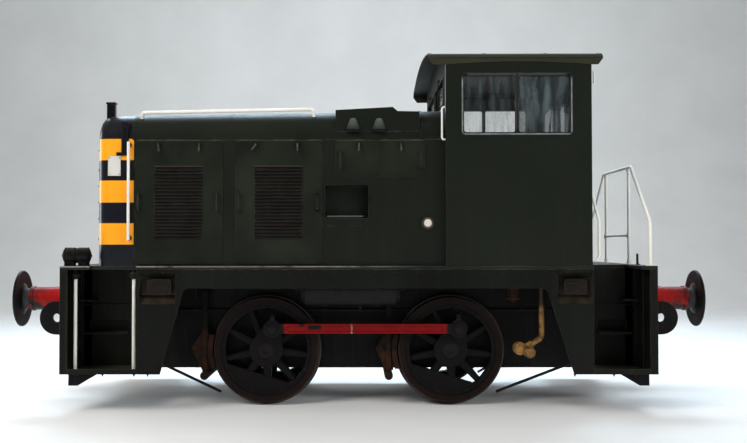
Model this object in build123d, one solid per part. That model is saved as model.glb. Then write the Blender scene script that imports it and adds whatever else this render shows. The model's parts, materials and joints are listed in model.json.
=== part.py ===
from build123d import *
import math
import os

# Small four-wheel diesel shunting locomotive: bonnet to the front (-X), cab to the rear (+X),
# near side -Y. Millimetres. Heights are above the rail head. The export lifts everything by the
# flange depth, so that the wheel flanges stand at z = 0 below the middle of the locomotive.

# Overall sizes
length_over_buffers = 6687
body_width = 2530
wheelbase = 1829
platform_top = 1360
platform_plate = 34
skirt_bottom = 335           # lower edge of the side plates, steps and headstock legs
side_plate = 10
buffer_reach = 508.5         # a headstock's face to the face of its buffers
half_width = body_width / 2
frame_half = length_over_buffers / 2 - buffer_reach
platform_under = platform_top - platform_plate
front_axle_x = -wheelbase / 2
rear_axle_x = wheelbase / 2

# Wheels and axles
tread_radius = 520
flange_depth = 28
wheel_back = 680             # centre line to the back of a wheel
tyre_width = 135
tyre_thickness = 66
rim_thickness = 46
rim_step = 16                # the rim is this much narrower than the tyre on each face
spoke_count = 9              # one of them lies behind the crank
hub_radius = 165
hub_boss_radius = 112
hub_boss_stand = 18          # the boss stands this far out of the tyre's outer face
axle_radius = 82
axle_collar = 12             # the middle of the axle is thicker by this
axle_middle = 430            # half the length of that middle
crank_throw = 229
crank_angle = 72.5           # near crank, above +X
quartering = 90
crank_boss_radius = 84
crank_pin_radius = 46
wheel_front = wheel_back + tyre_width
rim_outer = tread_radius - tyre_thickness
rim_inner = rim_outer - rim_thickness

# Coupling rods
rod_gap = 62                 # tyre's outer face to the rod
rod_thickness = 62
rod_depth = 95
rod_boss_radius = 88
rod_pin_clearance = 0.3
rod_washer = 14
rod_inner = wheel_front + rod_gap
rod_outer = rod_inner + rod_thickness
rod_pin_end = rod_outer + rod_washer + 6

# Main frames, between the wheels
frame_plate = 28
frame_outer = 610            # centre line to the outer face of a frame plate
frame_bottom = 320
frame_end_depth = 566        # depth of a frame plate beyond the wheels
frame_end_gap = 30           # thickness of a headstock, behind which the frames end
stretcher = 24
stretcher_reach = (700, 650)  # axle to the cross plates ahead of the front and behind the rear
end_stretcher_back = 335     # headstock's face to the cross plate behind it
horn_half = 150
axlebox_width = 120
axlebox_clearance = 0.3
frame_inner = frame_outer - frame_plate

# Brake gear, ahead of each wheel
brake_shoe_y = 760
brake_shoe_gap = 12          # tread to shoe
brake_hanger_back = 93       # tread to the middle of a hanger
brake_shaft_z = tread_radius - 255
brake_shaft = 84
brake_pivot_z = 1080
brake_cylinder_at = (1510, -985)
brake_cylinder_radius = 60
brake_cylinder_bottom = platform_under - 321

# Side plates with the wheel arch
front_step = 725             # headstock's face to the front end of the side plates
rear_step = 605              # headstock's face to their rear end
arch_top = platform_top - 211
arch_corner = 60
arch_front = (740, 966)      # ahead of the front axle: the arch's corner and its foot
arch_rear = (870, 1126)      # behind the rear axle: the same
side_front = -frame_half + front_step
side_rear = frame_half - rear_step
pocket = (platform_top - 356, platform_top - 57)        # lower and upper edge of the sandbox pockets
pocket_spans = (
    # x of the front and the rear end of each pocket
    (side_front + 35, side_front + 373),
    (side_rear - 344, side_rear - 22),
)

# Headstocks and step wells
post_width = 75              # return of a headstock along the side
post_plate = 16
leg_width = 420
beam_bottom = 800
well_back = frame_outer + 65
tread_plate = 50
front_corner = 280           # solid corner of the platform ahead of a front step well
rear_corner = 145

# Bonnet
front_deck = 365             # headstock's face to the nose
bonnet_front = -frame_half + front_deck
bonnet_half = half_width - 80
bonnet_sheet = 6
bonnet_top_front = platform_top + 1470
bonnet_top_rear = platform_top + 1520
shoulder_start = platform_top + 1210
nose_radius = 120
nose_length = 318            # the nose hood, ahead of the side sheets
door_sheet = 6
door_lap = 22
nose_rear = bonnet_front + nose_length

# Cab
rear_deck = 612              # headstock's face to the cab's rear wall
cab_length = 1390
cab_half = half_width - 8
cab_wall = 40
cab_rear = frame_half - rear_deck
cab_front = cab_rear - cab_length
eave = platform_top + 1917
eave_rise = 30               # the eaves' lower edge is higher by this in the middle
roof_edge = platform_top + 2026
wall_top = platform_top + 1952              # the side walls end just inside the roof's turned-down eaves
roof_crown = platform_top + 2130
roof_sheet = 8
roof_front = cab_front - 164
roof_rear = cab_rear + 110
window_corner = 40
window_frame = 18
window_divider = 24
pane_corner = 28
glass = 6
cab_window = (cab_front + 154, cab_rear - 185, platform_top + 1248, platform_top + 1834)

# Buffers
buffer_y = 870
buffer_z = 1035
head_radius = 275
ram_radius = 100
stock_radius = 112
stock_length = 388

rail_tube = 34               # outside diameter of the white handrails


def block(x0, x1, y0, y1, z0, z1):
    """A box between two corners."""
    middle = Pos((x0 + x1) / 2, (y0 + y1) / 2, (z0 + z1) / 2)
    return middle * Box(x1 - x0, y1 - y0, z1 - z0)


def rect(x0, x1, y0, y1, corner=0):
    """A rectangle between two corners, with rounded corners if asked."""
    width, height = x1 - x0, y1 - y0
    shape = RectangleRounded(width, height, corner) if corner else Rectangle(width, height)
    return Pos((x0 + x1) / 2, (y0 + y1) / 2) * shape


def polygon(*points):
    return make_face(Polyline(*points, close=True))


def side_prism(sketch, y0, y1):
    """A sketch drawn in (x, z), carried across from y0 to y1."""
    plane = Plane(origin=(0, y1, 0), x_dir=(1, 0, 0), z_dir=(0, -1, 0))
    return extrude(plane * sketch, amount=y1 - y0)


def end_prism(sketch, x0, x1):
    """A sketch drawn in (y, z), carried along from x0 to x1."""
    plane = Plane(origin=(x0, 0, 0), x_dir=(0, 1, 0), z_dir=(1, 0, 0))
    return extrude(plane * sketch, amount=x1 - x0)


def plan_prism(sketch, z0, z1):
    """A sketch drawn in (x, y), carried up from z0 to z1."""
    return extrude(Pos(0, 0, z0) * sketch, amount=z1 - z0)


def bar(start, end, diameter):
    """A round bar between two points."""
    start, end = Vector(*start), Vector(*end)
    run = end - start
    return extrude(Plane(origin=start, z_dir=run) * Circle(diameter / 2), amount=run.length)


def tube(points, diameter, bend):
    """A bent round bar through points, with each corner bent to the radius bend."""
    path = FilletPolyline(*points, radius=bend)
    return sweep(Plane(origin=path @ 0, z_dir=path % 0) * Circle(diameter / 2), path=path)


def turned(axis_point, axis_direction, *outline):
    """A solid of revolution from (distance along, radius) points, closed on its axis."""
    plane = Plane(origin=axis_point, x_dir=axis_direction, z_dir=Vector(0, 0, 1))
    return revolve(plane * polygon(*outline), axis=Axis(axis_point, axis_direction))


def turned_up(x, y, z, *outline):
    """A solid of revolution about an upright axis, from (height, radius) points."""
    plane = Plane(origin=(x, y, z), x_dir=(0, 0, 1), z_dir=(0, -1, 0))
    return revolve(plane * polygon(*outline), axis=Axis((x, y, z), (0, 0, 1)))


def link_outline(radius_a, radius_b, distance):
    """Two discs, at 0 and at distance along x, and the straight tangents that join them."""
    lean = math.acos((radius_a - radius_b) / distance)
    c, s = math.cos(lean), math.sin(lean)
    web = polygon((radius_a * c, radius_a * s), (radius_a * c, -radius_a * s),
                  (distance + radius_b * c, -radius_b * s), (distance + radius_b * c, radius_b * s))
    return web + Circle(radius_a) + Pos(distance, 0) * Circle(radius_b)


def far(piece):
    """The piece's mirror image on the other side of the locomotive."""
    return mirror(piece, about=Plane.XZ)


def other_end(piece):
    """The piece's mirror image at the other end of the locomotive."""
    return mirror(piece, about=Plane.YZ)


def crank_point(axle_x, angle):
    turn = math.radians(angle)
    return axle_x + crank_throw * math.cos(turn), tread_radius + crank_throw * math.sin(turn)


# Wheels, axles and rods

def tyre_and_rim():
    """Revolved about the Y axis, back face at y = 0 and outer face towards +Y."""
    root = tread_radius + 8
    flange = ThreePointArc((root, 0), (tread_radius + flange_depth, 14), (root, 27))
    rest = Polyline((root, 27), (tread_radius + 1.5, 36), (tread_radius - 3, tyre_width),
                    (rim_outer, tyre_width), (rim_outer, tyre_width - rim_step),
                    (rim_inner, tyre_width - rim_step), (rim_inner, rim_step),
                    (rim_outer, rim_step), (rim_outer, 0), (root, 0))
    return revolve(make_face(flange + rest), axis=Axis.Y)


def spoke(angle):
    """A tapered oval spoke from the hub to the rim, at an angle above +X."""
    sections = []
    for reach, across, deep in ((hub_radius - 12, 88, 78), (rim_inner + 6, 62, 60)):
        plane = Plane(origin=(reach, tyre_width / 2, 0), x_dir=(0, 1, 0), z_dir=(1, 0, 0))
        sections.append(plane * RectangleRounded(deep, across, 22))
    return Rot(0, -angle, 0) * loft(sections)


def wheel(angle):
    """A wheel with its crank at an angle above +X and its outer face towards +Y."""
    boss_face = tyre_width + hub_boss_stand
    body = tyre_and_rim()
    body += side_prism(Circle(hub_radius), 14, tyre_width - 6)
    body += side_prism(Circle(hub_boss_radius), 0, boss_face)
    for i in range(1, spoke_count):
        body += spoke(angle + 360 / spoke_count * i)
    turn = Rot(0, -angle, 0)
    web = link_outline(hub_radius, crank_boss_radius, crank_throw)
    body += turn * side_prism(web, 30, boss_face)
    weight = Circle(rim_inner + 6) & rect(-rim_outer, -250, -rim_outer, rim_outer)
    body += turn * side_prism(weight, 24, tyre_width - 22)
    body -= side_prism(Circle(axle_radius), -1, boss_face + 1)
    pin = Pos(crank_throw, 0) * Circle(crank_pin_radius)
    body += turn * side_prism(pin, tyre_width, rod_pin_end - wheel_back)
    collar = Pos(crank_throw, 0) * Circle(crank_pin_radius + 20)
    body += turn * side_prism(collar, rod_outer + 4 - wheel_back, rod_pin_end - wheel_back)
    return body


def wheel_pair(axle_x):
    far_wheel = Pos(axle_x, wheel_back, tread_radius) * wheel(crank_angle - quartering)
    near_wheel = far(Pos(axle_x, wheel_back, tread_radius) * wheel(crank_angle))
    return [near_wheel, far_wheel]


def axle(axle_x):
    """The axle, with its ends flush in the wheel bosses and a thicker middle."""
    end = wheel_front + hub_boss_stand - 4
    thick = axle_radius + axle_collar
    outline = [(-end, 0), (-end, axle_radius), (-axle_middle, axle_radius), (-axle_middle, thick),
               (axle_middle, thick), (axle_middle, axle_radius), (end, axle_radius), (end, 0)]
    plane = Plane(origin=(axle_x, 0, tread_radius), x_dir=(0, 1, 0), z_dir=(1, 0, 0))
    centre = Axis((axle_x, 0, tread_radius), (0, 1, 0))
    return revolve(plane * polygon(*outline), axis=centre)


def coupling_rod(angle):
    """The rod of the far side; its bosses sit on the two crank pins."""
    oil_cup_half, oil_cup_height = 24, 24
    flute_half, flute_depth, flute_margin = 26, 8, 150
    x_front, z_pin = crank_point(front_axle_x, angle)
    x_rear = x_front + wheelbase
    outline = rect(x_front, x_rear, z_pin - rod_depth / 2, z_pin + rod_depth / 2)
    for x in (x_front, x_rear):
        outline += Pos(x, z_pin) * Circle(rod_boss_radius)
        outline += rect(x - oil_cup_half, x + oil_cup_half, z_pin,
                        z_pin + rod_boss_radius + oil_cup_height, 8)
    rod = side_prism(outline, rod_inner, rod_outer)
    flute = rect(x_front + flute_margin, x_rear - flute_margin, z_pin - flute_half,
                 z_pin + flute_half, flute_half - 2)
    rod -= side_prism(flute, rod_outer - flute_depth, rod_outer + 1)
    for x in (x_front, x_rear):
        bore = Pos(x, z_pin) * Circle(crank_pin_radius + rod_pin_clearance)
        rod -= side_prism(bore, rod_inner - 1, rod_outer + 1)
    return rod


# Frames and running gear

def main_frames():
    """Two plates with horn gaps for the axleboxes, tied by cross plates, in one weldment."""
    end = frame_half - frame_end_gap
    horn_top = tread_radius + 190
    step = platform_under - frame_end_depth
    outline = rect(-end, end, step, platform_under)
    outline += polygon((front_axle_x - 866, step), (front_axle_x - 726, frame_bottom),
                       (rear_axle_x + 586, frame_bottom), (rear_axle_x + 786, step))
    for axle_x in (front_axle_x, rear_axle_x):
        outline -= rect(axle_x - horn_half, axle_x + horn_half, frame_bottom - 1, horn_top)
    plate = side_prism(outline, frame_inner, frame_outer)
    frames = plate + far(plate)
    end_x = frame_half - end_stretcher_back
    top = platform_under - 26
    for x, z0, z1 in ((-end_x, 800, top), (front_axle_x - stretcher_reach[0], 560, top),
                      (0, 420, 700), (rear_axle_x + stretcher_reach[1], 560, top),
                      (end_x, 800, top)):
        frames += block(x - stretcher / 2, x + stretcher / 2, -frame_inner, frame_inner, z0, z1)
    return frames


def axleboxes():
    """Four boxes in the horn gaps, bored for the axle."""
    boxes = []
    inner = frame_outer - frame_plate / 2 - axlebox_width / 2
    for axle_x in (front_axle_x, rear_axle_x):
        side = rect(axle_x - horn_half, axle_x + horn_half, tread_radius - horn_half,
                    tread_radius + horn_half)
        side -= Pos(axle_x, tread_radius) * Circle(axle_radius + axlebox_clearance)
        box = side_prism(side, inner, inner + axlebox_width)
        boxes += [box, far(box)]
    return boxes


def leaf_springs():
    """Springs standing on the axleboxes inside the frame plates."""
    leaf_count, leaf, leaf_width = 7, 13, 76
    longest, shortening = 430, 52
    springs = []
    outer = frame_inner - 2
    base = tread_radius + horn_half
    for axle_x in (front_axle_x, rear_axle_x):
        spring = block(axle_x - 55, axle_x + 55, outer - leaf_width - 8, outer, base, base + 40)
        for i in range(leaf_count):
            reach = longest - shortening * (leaf_count - 1 - i)
            z = base + 36 + leaf * i
            spring += block(axle_x - reach, axle_x + reach, outer - leaf_width, outer, z, z + leaf)
        springs += [spring, far(spring)]
    return springs


def headstock():
    """The rear headstock: a beam across the end, with a leg and a side return at each corner."""
    x = frame_half
    outline = rect(-half_width, half_width, beam_bottom, platform_under)
    leg = rect(-half_width, -half_width + leg_width, skirt_bottom, beam_bottom + 1)
    outline += leg + mirror(leg, about=Plane.YZ)
    beam = end_prism(outline, x - frame_end_gap, x)
    post = block(x - post_width, x, -half_width, -half_width + post_plate, skirt_bottom,
                 platform_under)
    return beam + post + far(post)


def footplate():
    """The platform plate: cut back to the bonnet over the front steps, open over the rear ones."""
    outline = rect(-frame_half, frame_half, -half_width, half_width)
    for x0, x1, edge in ((-frame_half + front_corner, side_front, bonnet_half),
                         (side_rear, frame_half - rear_corner, well_back)):
        notch = rect(x0, x1, -half_width - 1, -edge)
        outline -= notch + mirror(notch, about=Plane.XZ)
    return plan_prism(outline, platform_under, platform_top)


def step_well(inner, slot_length):
    """A rear near-side well: back plate with a toe slot and its pocket, treads and ledges."""
    outer = frame_half - post_width
    back = -well_back
    slot_bottom, slot_top, sheet = 695, 812, 4
    slot_x1 = outer - 60
    slot_x0 = slot_x1 - slot_length
    pocket_end = -frame_outer - 2
    wall = rect(inner, outer, skirt_bottom, platform_under)
    wall -= rect(slot_x0, slot_x1, slot_bottom, slot_top, 20)
    well = side_prism(wall, back, back + 8)
    box = block(slot_x0 - sheet, slot_x1 + sheet, back + 7, pocket_end, slot_bottom - sheet,
                slot_top + sheet)
    well += box - block(slot_x0, slot_x1, back + 6, pocket_end - sheet, slot_bottom, slot_top)
    face = -half_width
    well += block(inner, outer, face + 12, back, skirt_bottom, skirt_bottom + 14)
    well += block(inner, outer, face, face + 12, skirt_bottom, skirt_bottom + tread_plate)
    well += block(slot_x0 - 15, slot_x1 + 15, back - 150, back, slot_bottom - 22, slot_bottom - 4)
    well += block(inner, outer, back - 20, back, 955, 970)
    well += block(outer - 140, outer, back - 230, back, 1004, 1018)
    return well


step_rail_y = -bonnet_half + 28
step_rail_top = platform_top - 124
step_rail_back = (122, 682)  # headstock's face to the two uprights of a front step well


def rail_sockets():
    """The mushroom-shaped sockets under the platform that hold the front step handrails."""
    sockets = []
    height = platform_under - step_rail_top
    outline = ((0, 0), (0, 32), (26, 48), (50, 48), (62, 24), (height, 24), (height, 0))
    for back in step_rail_back:
        socket = turned_up(-frame_half + back, step_rail_y, step_rail_top, *outline)
        sockets += [socket, far(socket)]
    return sockets


def side_valance():
    """The near side plate under the platform, with the wheel arch and the sandbox pockets."""
    plate = rect(side_front, side_rear, skirt_bottom, platform_under)
    arch = polygon((front_axle_x - arch_front[1], skirt_bottom - 1),
                   (front_axle_x - arch_front[0], arch_top),
                   (rear_axle_x + arch_rear[0], arch_top),
                   (rear_axle_x + arch_rear[1], skirt_bottom - 1))
    plate -= fillet(arch.vertices().group_by(Axis.Y)[-1], arch_corner)
    for x0, x1 in pocket_spans:
        plate -= rect(x0, x1, *pocket, 14)
    return side_prism(plate, -half_width, -half_width + side_plate)


def sand_boxes():
    """Sandboxes behind the pockets: a filler neck with its lid over a sloped chute plate."""
    boxes = []
    face = -half_width + side_plate
    low, high = pocket
    profile = polygon((face, high + 11), (face + 190, high + 11), (face + 190, 860),
                      (face + 90, 860), (face + 90, low - 19), (face, low - 19), (face, low - 12),
                      (face + 60, low + 71), (face + 12, low + 86), (face + 60, low + 236),
                      (face, high + 4))
    for x0, x1 in pocket_spans:
        box = end_prism(profile, x0 - 10, x1 + 10)
        lid = rect(x0 + 68, x1 - 40, low + 84, low + 228, 26)
        box += side_prism(lid, face + 6, face + 40)
        boxes += [box, far(box)]
    return boxes


def sand_pipes():
    """A pipe from each sandbox down to the outer foot of its wheel."""
    pipes = []
    y_box = -half_width + side_plate + 140
    y_wheel = -(wheel_back + tyre_width / 2)
    for end, (x0, x1) in zip((-1, 1), pocket_spans):
        x_box = (x0 + x1) / 2
        x_foot = end * (wheelbase / 2 + tread_radius - 60)
        pipe = tube([(x_box, y_box, 860), (x_box, y_box, 430), (x_foot, y_wheel, 100)], 28, 60)
        pipes += [pipe, far(pipe)]
    return pipes


def guard_brackets():
    """Triangular guards below the four corners of the headstocks."""
    guards = []
    outer = frame_half - post_width + 5
    low = skirt_bottom - 113
    outline = polygon((outer, skirt_bottom), (outer, low), (outer - 90, low),
                      (outer - 285, skirt_bottom))
    guard = side_prism(outline, -half_width + 60, -half_width + 76)
    for piece in (guard, other_end(guard)):
        guards += [piece, far(piece)]
    return guards


def air_tanks():
    """A reservoir each side, high in the wheel arch, hung by two straps from the platform."""
    radius, length, strap = 150, 950, 6
    end_radius, dish = 110, 45
    front = -550
    centre_y, centre_z = -half_width + 195, platform_under - 196
    tank = turned((front, centre_y, centre_z), (1, 0, 0), (0, 0), (0, end_radius), (dish, radius),
                  (length - dish, radius), (length, end_radius), (length, 0))
    for x in (front + 220, front + 730):
        tank += block(x - 25, x + 25, centre_y - radius - strap, centre_y + radius + strap,
                      centre_z, platform_under)
        tank += block(x - 25, x + 25, centre_y - 40, centre_y + 40, centre_z - radius - strap,
                      centre_z)
    return [tank, far(tank)]


def brake_gear():
    """Hangers, blocks and bell cranks ahead of each wheel, cross shafts and a cylinder."""
    gear = []
    y = brake_shoe_y
    for axle_x in (front_axle_x, rear_axle_x):
        x = axle_x - tread_radius - brake_hanger_back
        ring = Circle(tread_radius + brake_shoe_gap + 50) - Circle(tread_radius + brake_shoe_gap)
        shoe = Pos(axle_x, tread_radius) * ring
        shoe &= rect(x - 30, axle_x, tread_radius - 190, tread_radius + 150)
        crank = polygon((x - 120, tread_radius + 40), (x - 120, tread_radius - 20),
                        (x - 30, brake_shaft_z + 50), (x + 45, brake_shaft_z + 50),
                        (x + 60, tread_radius + 140), (x - 20, tread_radius + 190))
        piece = side_prism(shoe, -y - 40, -y + 40)
        piece += side_prism(crank, -y - 12, -y + 12)
        piece += side_prism(rect(x - 26, x + 26, brake_shaft_z - 20, brake_pivot_z + 40, 14),
                            -y - 24, -y + 24)
        piece += bar((x, -y - 46, brake_pivot_z), (x, -frame_outer, brake_pivot_z), 60)
        piece += bar((x - 92, -y - 34, tread_radius + 12), (x - 92, -y + 34, tread_radius + 12), 70)
        piece += far(piece)
        shaft = bar((x, -y - 62, brake_shaft_z), (x, y + 62, brake_shaft_z), brake_shaft)
        gear.append(piece + shaft)
    top = platform_under - brake_cylinder_bottom
    radius = brake_cylinder_radius
    cylinder = turned_up(*brake_cylinder_at, brake_cylinder_bottom, (0, 0), (0, 26), (24, 26),
                         (24, radius + 10), (44, radius + 10), (44, radius), (top, radius),
                         (top, 0))
    return gear + [cylinder, far(cylinder)]


def final_drive():
    """The axle gearcase on the rear axle, with its torque arm to the middle cross plate."""
    nose = 520
    side = Pos(rear_axle_x, tread_radius) * Circle(215)
    side += rect(rear_axle_x - nose, rear_axle_x, tread_radius - 150, tread_radius + 130)
    side -= Pos(rear_axle_x, tread_radius) * Circle(axle_radius + axle_collar + axlebox_clearance)
    case = side_prism(side, -180, 180)
    arm = bar((rear_axle_x - nose + 1, 0, tread_radius), (-100, 0, tread_radius + 60), 110)
    return case + (arm - block(-200, stretcher / 2, -100, 100, 300, 900))


def feed_pipe():
    """The ochre pipe behind the rear wheel, with a two-lobed valve at its lower end."""
    x, y = rear_axle_x + 852, -half_width + 175
    z = 565
    pipe = tube([(x, y, platform_under), (x, y, z + 105), (x - 125, y, z + 20)], 52, 62)
    elbow = Vector(x - 125, y, z + 20)
    pipe += bar(elbow + Vector(30, 0, 20), elbow - Vector(20, 0, 14), 78)
    pipe += bar((x - 215, y - 55, z), (x - 215, y + 55, z), 122)
    pipe += bar((x - 215, y, z), (x - 125, y, z - 20), 70)
    pipe += bar((x - 128, y - 88, z - 34), (x - 128, y + 50, z - 34), 104)
    pipe += bar((x - 128, y - 100, z - 34), (x - 128, y - 88, z - 34), 74)
    pipe += bar((x - 125, y, z + 30), (x - 128, y, z - 34), 62)
    return pipe


# Bonnet

def bonnet_form(inset):
    """The bonnet's outer form, drawn in by inset all round and open below."""
    sections = []
    for x, top in ((bonnet_front + inset, bonnet_top_front), (cab_front, bonnet_top_rear)):
        half = bonnet_half - inset
        bend = top - shoulder_start - inset
        edge = half - bend
        lines = Polyline((-half, shoulder_start), (-half, platform_top), (half, platform_top),
                         (half, shoulder_start))
        lines += JernArc((half, shoulder_start), (0, 1), bend, 90)
        lines += Line((edge, top - inset), (-edge, top - inset))
        lines += JernArc((-half, shoulder_start), (0, 1), bend, -90)
        plane = Plane(origin=(x, 0, 0), x_dir=(0, 1, 0), z_dir=(1, 0, 0))
        sections.append(plane * make_face(lines))
    form = loft(sections, ruled=True)
    nose = form.faces().sort_by(Axis.X)[0]
    edges = nose.edges().sort_by(Axis.Z)[1:]
    return fillet(edges, nose_radius - inset)


def roof_line(x):
    """The height of the bonnet's flat top at x."""
    share = (x - bonnet_front) / (cab_front - bonnet_front)
    return bonnet_top_front + share * (bonnet_top_rear - bonnet_top_front)


door_bottom = platform_top + 19
door_top = platform_top + 1208
low_door_bottom = platform_top + 840
side_openings = (
    # x0, x1, z0, z1 of each lift-off panel on the side
    (bonnet_front + 333, bonnet_front + 1173, door_bottom, door_top),
    (bonnet_front + 1292, bonnet_front + 2127, door_bottom, door_top),
    (cab_front - 1053, cab_front - 193, low_door_bottom, door_top),
)
louvre_margin = 186          # edge of a panel to its louvres
louvre_length = 458
louvred_panels = 2           # the first panels of the side
louvre_bottom = platform_top + 269
louvre_count = 21
louvre_pitch = 33
foot_hold = (cab_front - 1150, cab_front - 735, platform_top + 455, platform_top + 770)
foot_hold_depth = 174
grille_half = 870
grille_heights = (platform_top + 206, platform_top + 1200)


def bonnet_casing():
    """Sheet casing with the openings for its side panels, its radiator and its foot holds."""
    shell = bonnet_form(0) - bonnet_form(bonnet_sheet)
    for x0, x1, z0, z1 in side_openings:
        hole = rect(x0 + door_lap, x1 - door_lap, z0 + door_lap, z1 - door_lap)
        shell -= side_prism(hole, -bonnet_half - 1, bonnet_half + 1)
    shell -= side_prism(rect(*foot_hold, 20), -bonnet_half - 1, bonnet_half + 1)
    hole = rect(-grille_half + 40, grille_half - 40, grille_heights[0] + 34, grille_heights[1] - 50,
                30)
    return shell - end_prism(hole, bonnet_front - 1, bonnet_front + 40)


def bonnet_zone(x0, x1, z0, z1):
    """The whole width of the bonnet between two planes across it and two heights."""
    return block(x0, x1, -bonnet_half - 5, bonnet_half + 5, z0, z1)


def foot_holds():
    """Sheet boxes behind the foot-hold openings of the bonnet sides, with a bright tread bar."""
    x0, x1, z0, z1 = foot_hold
    face = -bonnet_half + bonnet_sheet
    box = block(x0 - 20, x1 + 20, face, face + foot_hold_depth + 6, z0 - 20, z1 + 20)
    box -= block(x0, x1, face - 1, face + foot_hold_depth, z0, z1)
    box += bar((x0, face + 24, z0 + 17), (x1, face + 24, z0 + 17), 22)
    return [box, far(box)]


def louvre_blade(face, z):
    """One blade in (y, z): it leans inwards and ends in a lip under the next blade."""
    top = z + louvre_pitch
    return polygon((face - 20, z), (face - 16, z - 2), (face, top - 4), (face, top), (face - 5, top))


def bonnet_doors():
    """The near side's lift-off panels: two with louvres and a shallow one above."""
    doors = []
    face = -bonnet_half
    for i, (x0, x1, z0, z1) in enumerate(side_openings):
        door = side_prism(rect(x0, x1, z0, z1, 12), face - door_sheet, face)
        if i < louvred_panels:
            f0 = x0 + louvre_margin
            f1 = f0 + louvre_length
            top = louvre_bottom + louvre_count * louvre_pitch
            door -= side_prism(rect(f0, f1, louvre_bottom, top), face - door_sheet - 1, face + 1)
            for k in range(louvre_count):
                blade = louvre_blade(face, louvre_bottom + louvre_pitch * k)
                door += end_prism(blade, f0 - 1, f1 + 1)
        doors.append(door)
    return doors


def radiator_grille():
    """A framed block of upright bars in the nose, standing a little proud of it, and its core."""
    x = bonnet_front
    y, (z0, z1) = grille_half, grille_heights
    border, proud, bar_count = 74, 26, 31
    frame = rect(-y, y, z0, z1, 30) - rect(-y + border, y - border, z0 + border, z1 - border, 12)
    grille = end_prism(frame, x - proud, x)
    clear = y - border
    for i in range(bar_count):
        at = -clear + 2 * clear / (bar_count + 1) * (i + 1)
        grille += block(x - 20, x - 4, at - 5, at + 5, z0 + border - 10, z1 - border + 10)
    for z in (z0 + 284, z0 + 494, z0 + 704):
        grille += block(x - 16, x - 6, -clear - 5, clear + 5, z - 6, z + 6)
    core = block(x + bonnet_sheet, x + 110, -y + 20, y - 20, z0 + 14, z1 - 30)
    return [grille, core]


box_half = bonnet_half - 10
box_bottom = platform_top + 1277
box_front = cab_front - 1050


def top_boxes():
    """The raised box over each shoulder ahead of the cab, seated on the bonnet's curve."""
    x0, x1 = box_front, cab_front - 243
    profile = polygon((x0, box_bottom), (x0, box_bottom + 220), (x0 + 550, box_bottom + 249),
                      (x0 + 598, box_bottom + 209), (x1, box_bottom + 206), (x1, box_bottom))
    box = side_prism(profile, -box_half, -box_half + 310) - bonnet_form(0)
    return [box, far(box)]


def vent_cowls():
    """Half-round bell-shaped hoods against each face of the boxes, open below."""
    pieces = []
    mouth = box_bottom + 11
    # height above the mouth, radius
    outline = ((0, 70), (24, 69), (104, 38), (124, 28), (131, 12), (131, 0), (125, 0), (119, 24),
               (100, 33), (22, 64), (0, 66))
    for x in (box_front + 169, box_front + 419):
        bell = turned_up(x, -box_half, mouth, *outline)
        bell -= block(x - 100, x + 100, -box_half, -box_half + 200, mouth - 50, mouth + 200)
        bell -= bonnet_form(0)
        pieces += [bell, far(bell)]
    return pieces


# Cab

rear_door = (-310, 310, platform_top + 40, platform_top + 1800)
window_to_side = 127         # outer edge of the end windows to the cab's side
rear_windows = ((-cab_half + window_to_side, -430), (430, cab_half - window_to_side))
front_windows = ((-cab_half + window_to_side + 50, -90), (90, cab_half - window_to_side - 50))
rear_window_heights = (platform_top + 1090, platform_top + 1760)
front_window_heights = (platform_top + 1585, platform_top + 1830)


def roof_section(inset):
    """The roof's section in (y, z), drawn in by inset, from its eaves up to its crown."""
    half = half_width - inset
    low = eave - 1 if inset else eave
    bend = roof_edge - inset
    crown = roof_crown - inset
    lines = Polyline((-half, bend - 60), (-half, low), (half, low), (half, bend - 60))
    lines += ThreePointArc((half, bend - 60), (half - 22, bend - 14), (half - 75, bend + 8))
    lines += ThreePointArc((half - 75, bend + 8), (0, crown), (-half + 75, bend + 8))
    lines += ThreePointArc((-half + 75, bend + 8), (-half + 22, bend - 14), (-half, bend - 60))
    return make_face(lines)


def cab_side():
    """The near side wall, which covers the edge of the platform."""
    x0, x1, z0, z1 = cab_window
    wall = rect(cab_front, cab_rear, platform_top, wall_top)
    wall -= rect(x0, x1, z0, z1, window_corner)
    return side_prism(wall, -cab_half, -cab_half + cab_wall)


def cross_wall(x0, windows, heights, door=None):
    """A wall across the cab from x0, with its windows and its doorway."""
    inside = cab_half - cab_wall
    outline = rect(-inside, inside, eave - 1, roof_crown) & roof_section(roof_sheet)
    outline += rect(-inside, inside, platform_top, eave)
    for y0, y1 in windows:
        outline -= rect(y0, y1, *heights, window_corner)
    if door:
        outline -= rect(*door)
    return end_prism(outline, x0, x0 + cab_wall)


def cab_roof():
    """One arched sheet with turned-down eaves, arched below, that overhangs at both ends."""
    roof = end_prism(roof_section(0), roof_front, roof_rear)
    roof -= end_prism(roof_section(roof_sheet), roof_front - 1, roof_rear + 1)
    middle = (cab_front + cab_rear) / 2
    arch = ThreePointArc((cab_front, eave), (middle, eave + eave_rise), (cab_rear, eave))
    arch += Polyline((cab_rear, eave), (cab_rear, eave - 20), (cab_front, eave - 20),
                     (cab_front, eave))
    roof -= side_prism(make_face(arch), -half_width - 1, half_width + 1)
    for x, inward in ((roof_front, 1), (roof_rear, -1)):
        corner = polygon((x - inward, eave - 1), (x - inward, eave + 62), (x + inward * 46, eave - 1))
        roof -= side_prism(corner, -half_width - 1, half_width + 1)
    return roof


def window_lights():
    """The outlines of the two panes of the near side window."""
    x0, x1, z0, z1 = cab_window
    edge, half_bar = window_frame, window_divider / 2
    middle = (x0 + x1) / 2
    spans = ((x0 + edge, middle - half_bar), (middle + half_bar, x1 - edge))
    return [rect(a, b, z0 + edge, z1 - edge, pane_corner) for a, b in spans]


def window_frames():
    """Bright frames in the near side window, with the divider between its two lights."""
    ring = rect(*cab_window, window_corner)
    for light in window_lights():
        ring -= light
    return side_prism(ring, -cab_half - 6, -cab_half + cab_wall)


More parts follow.
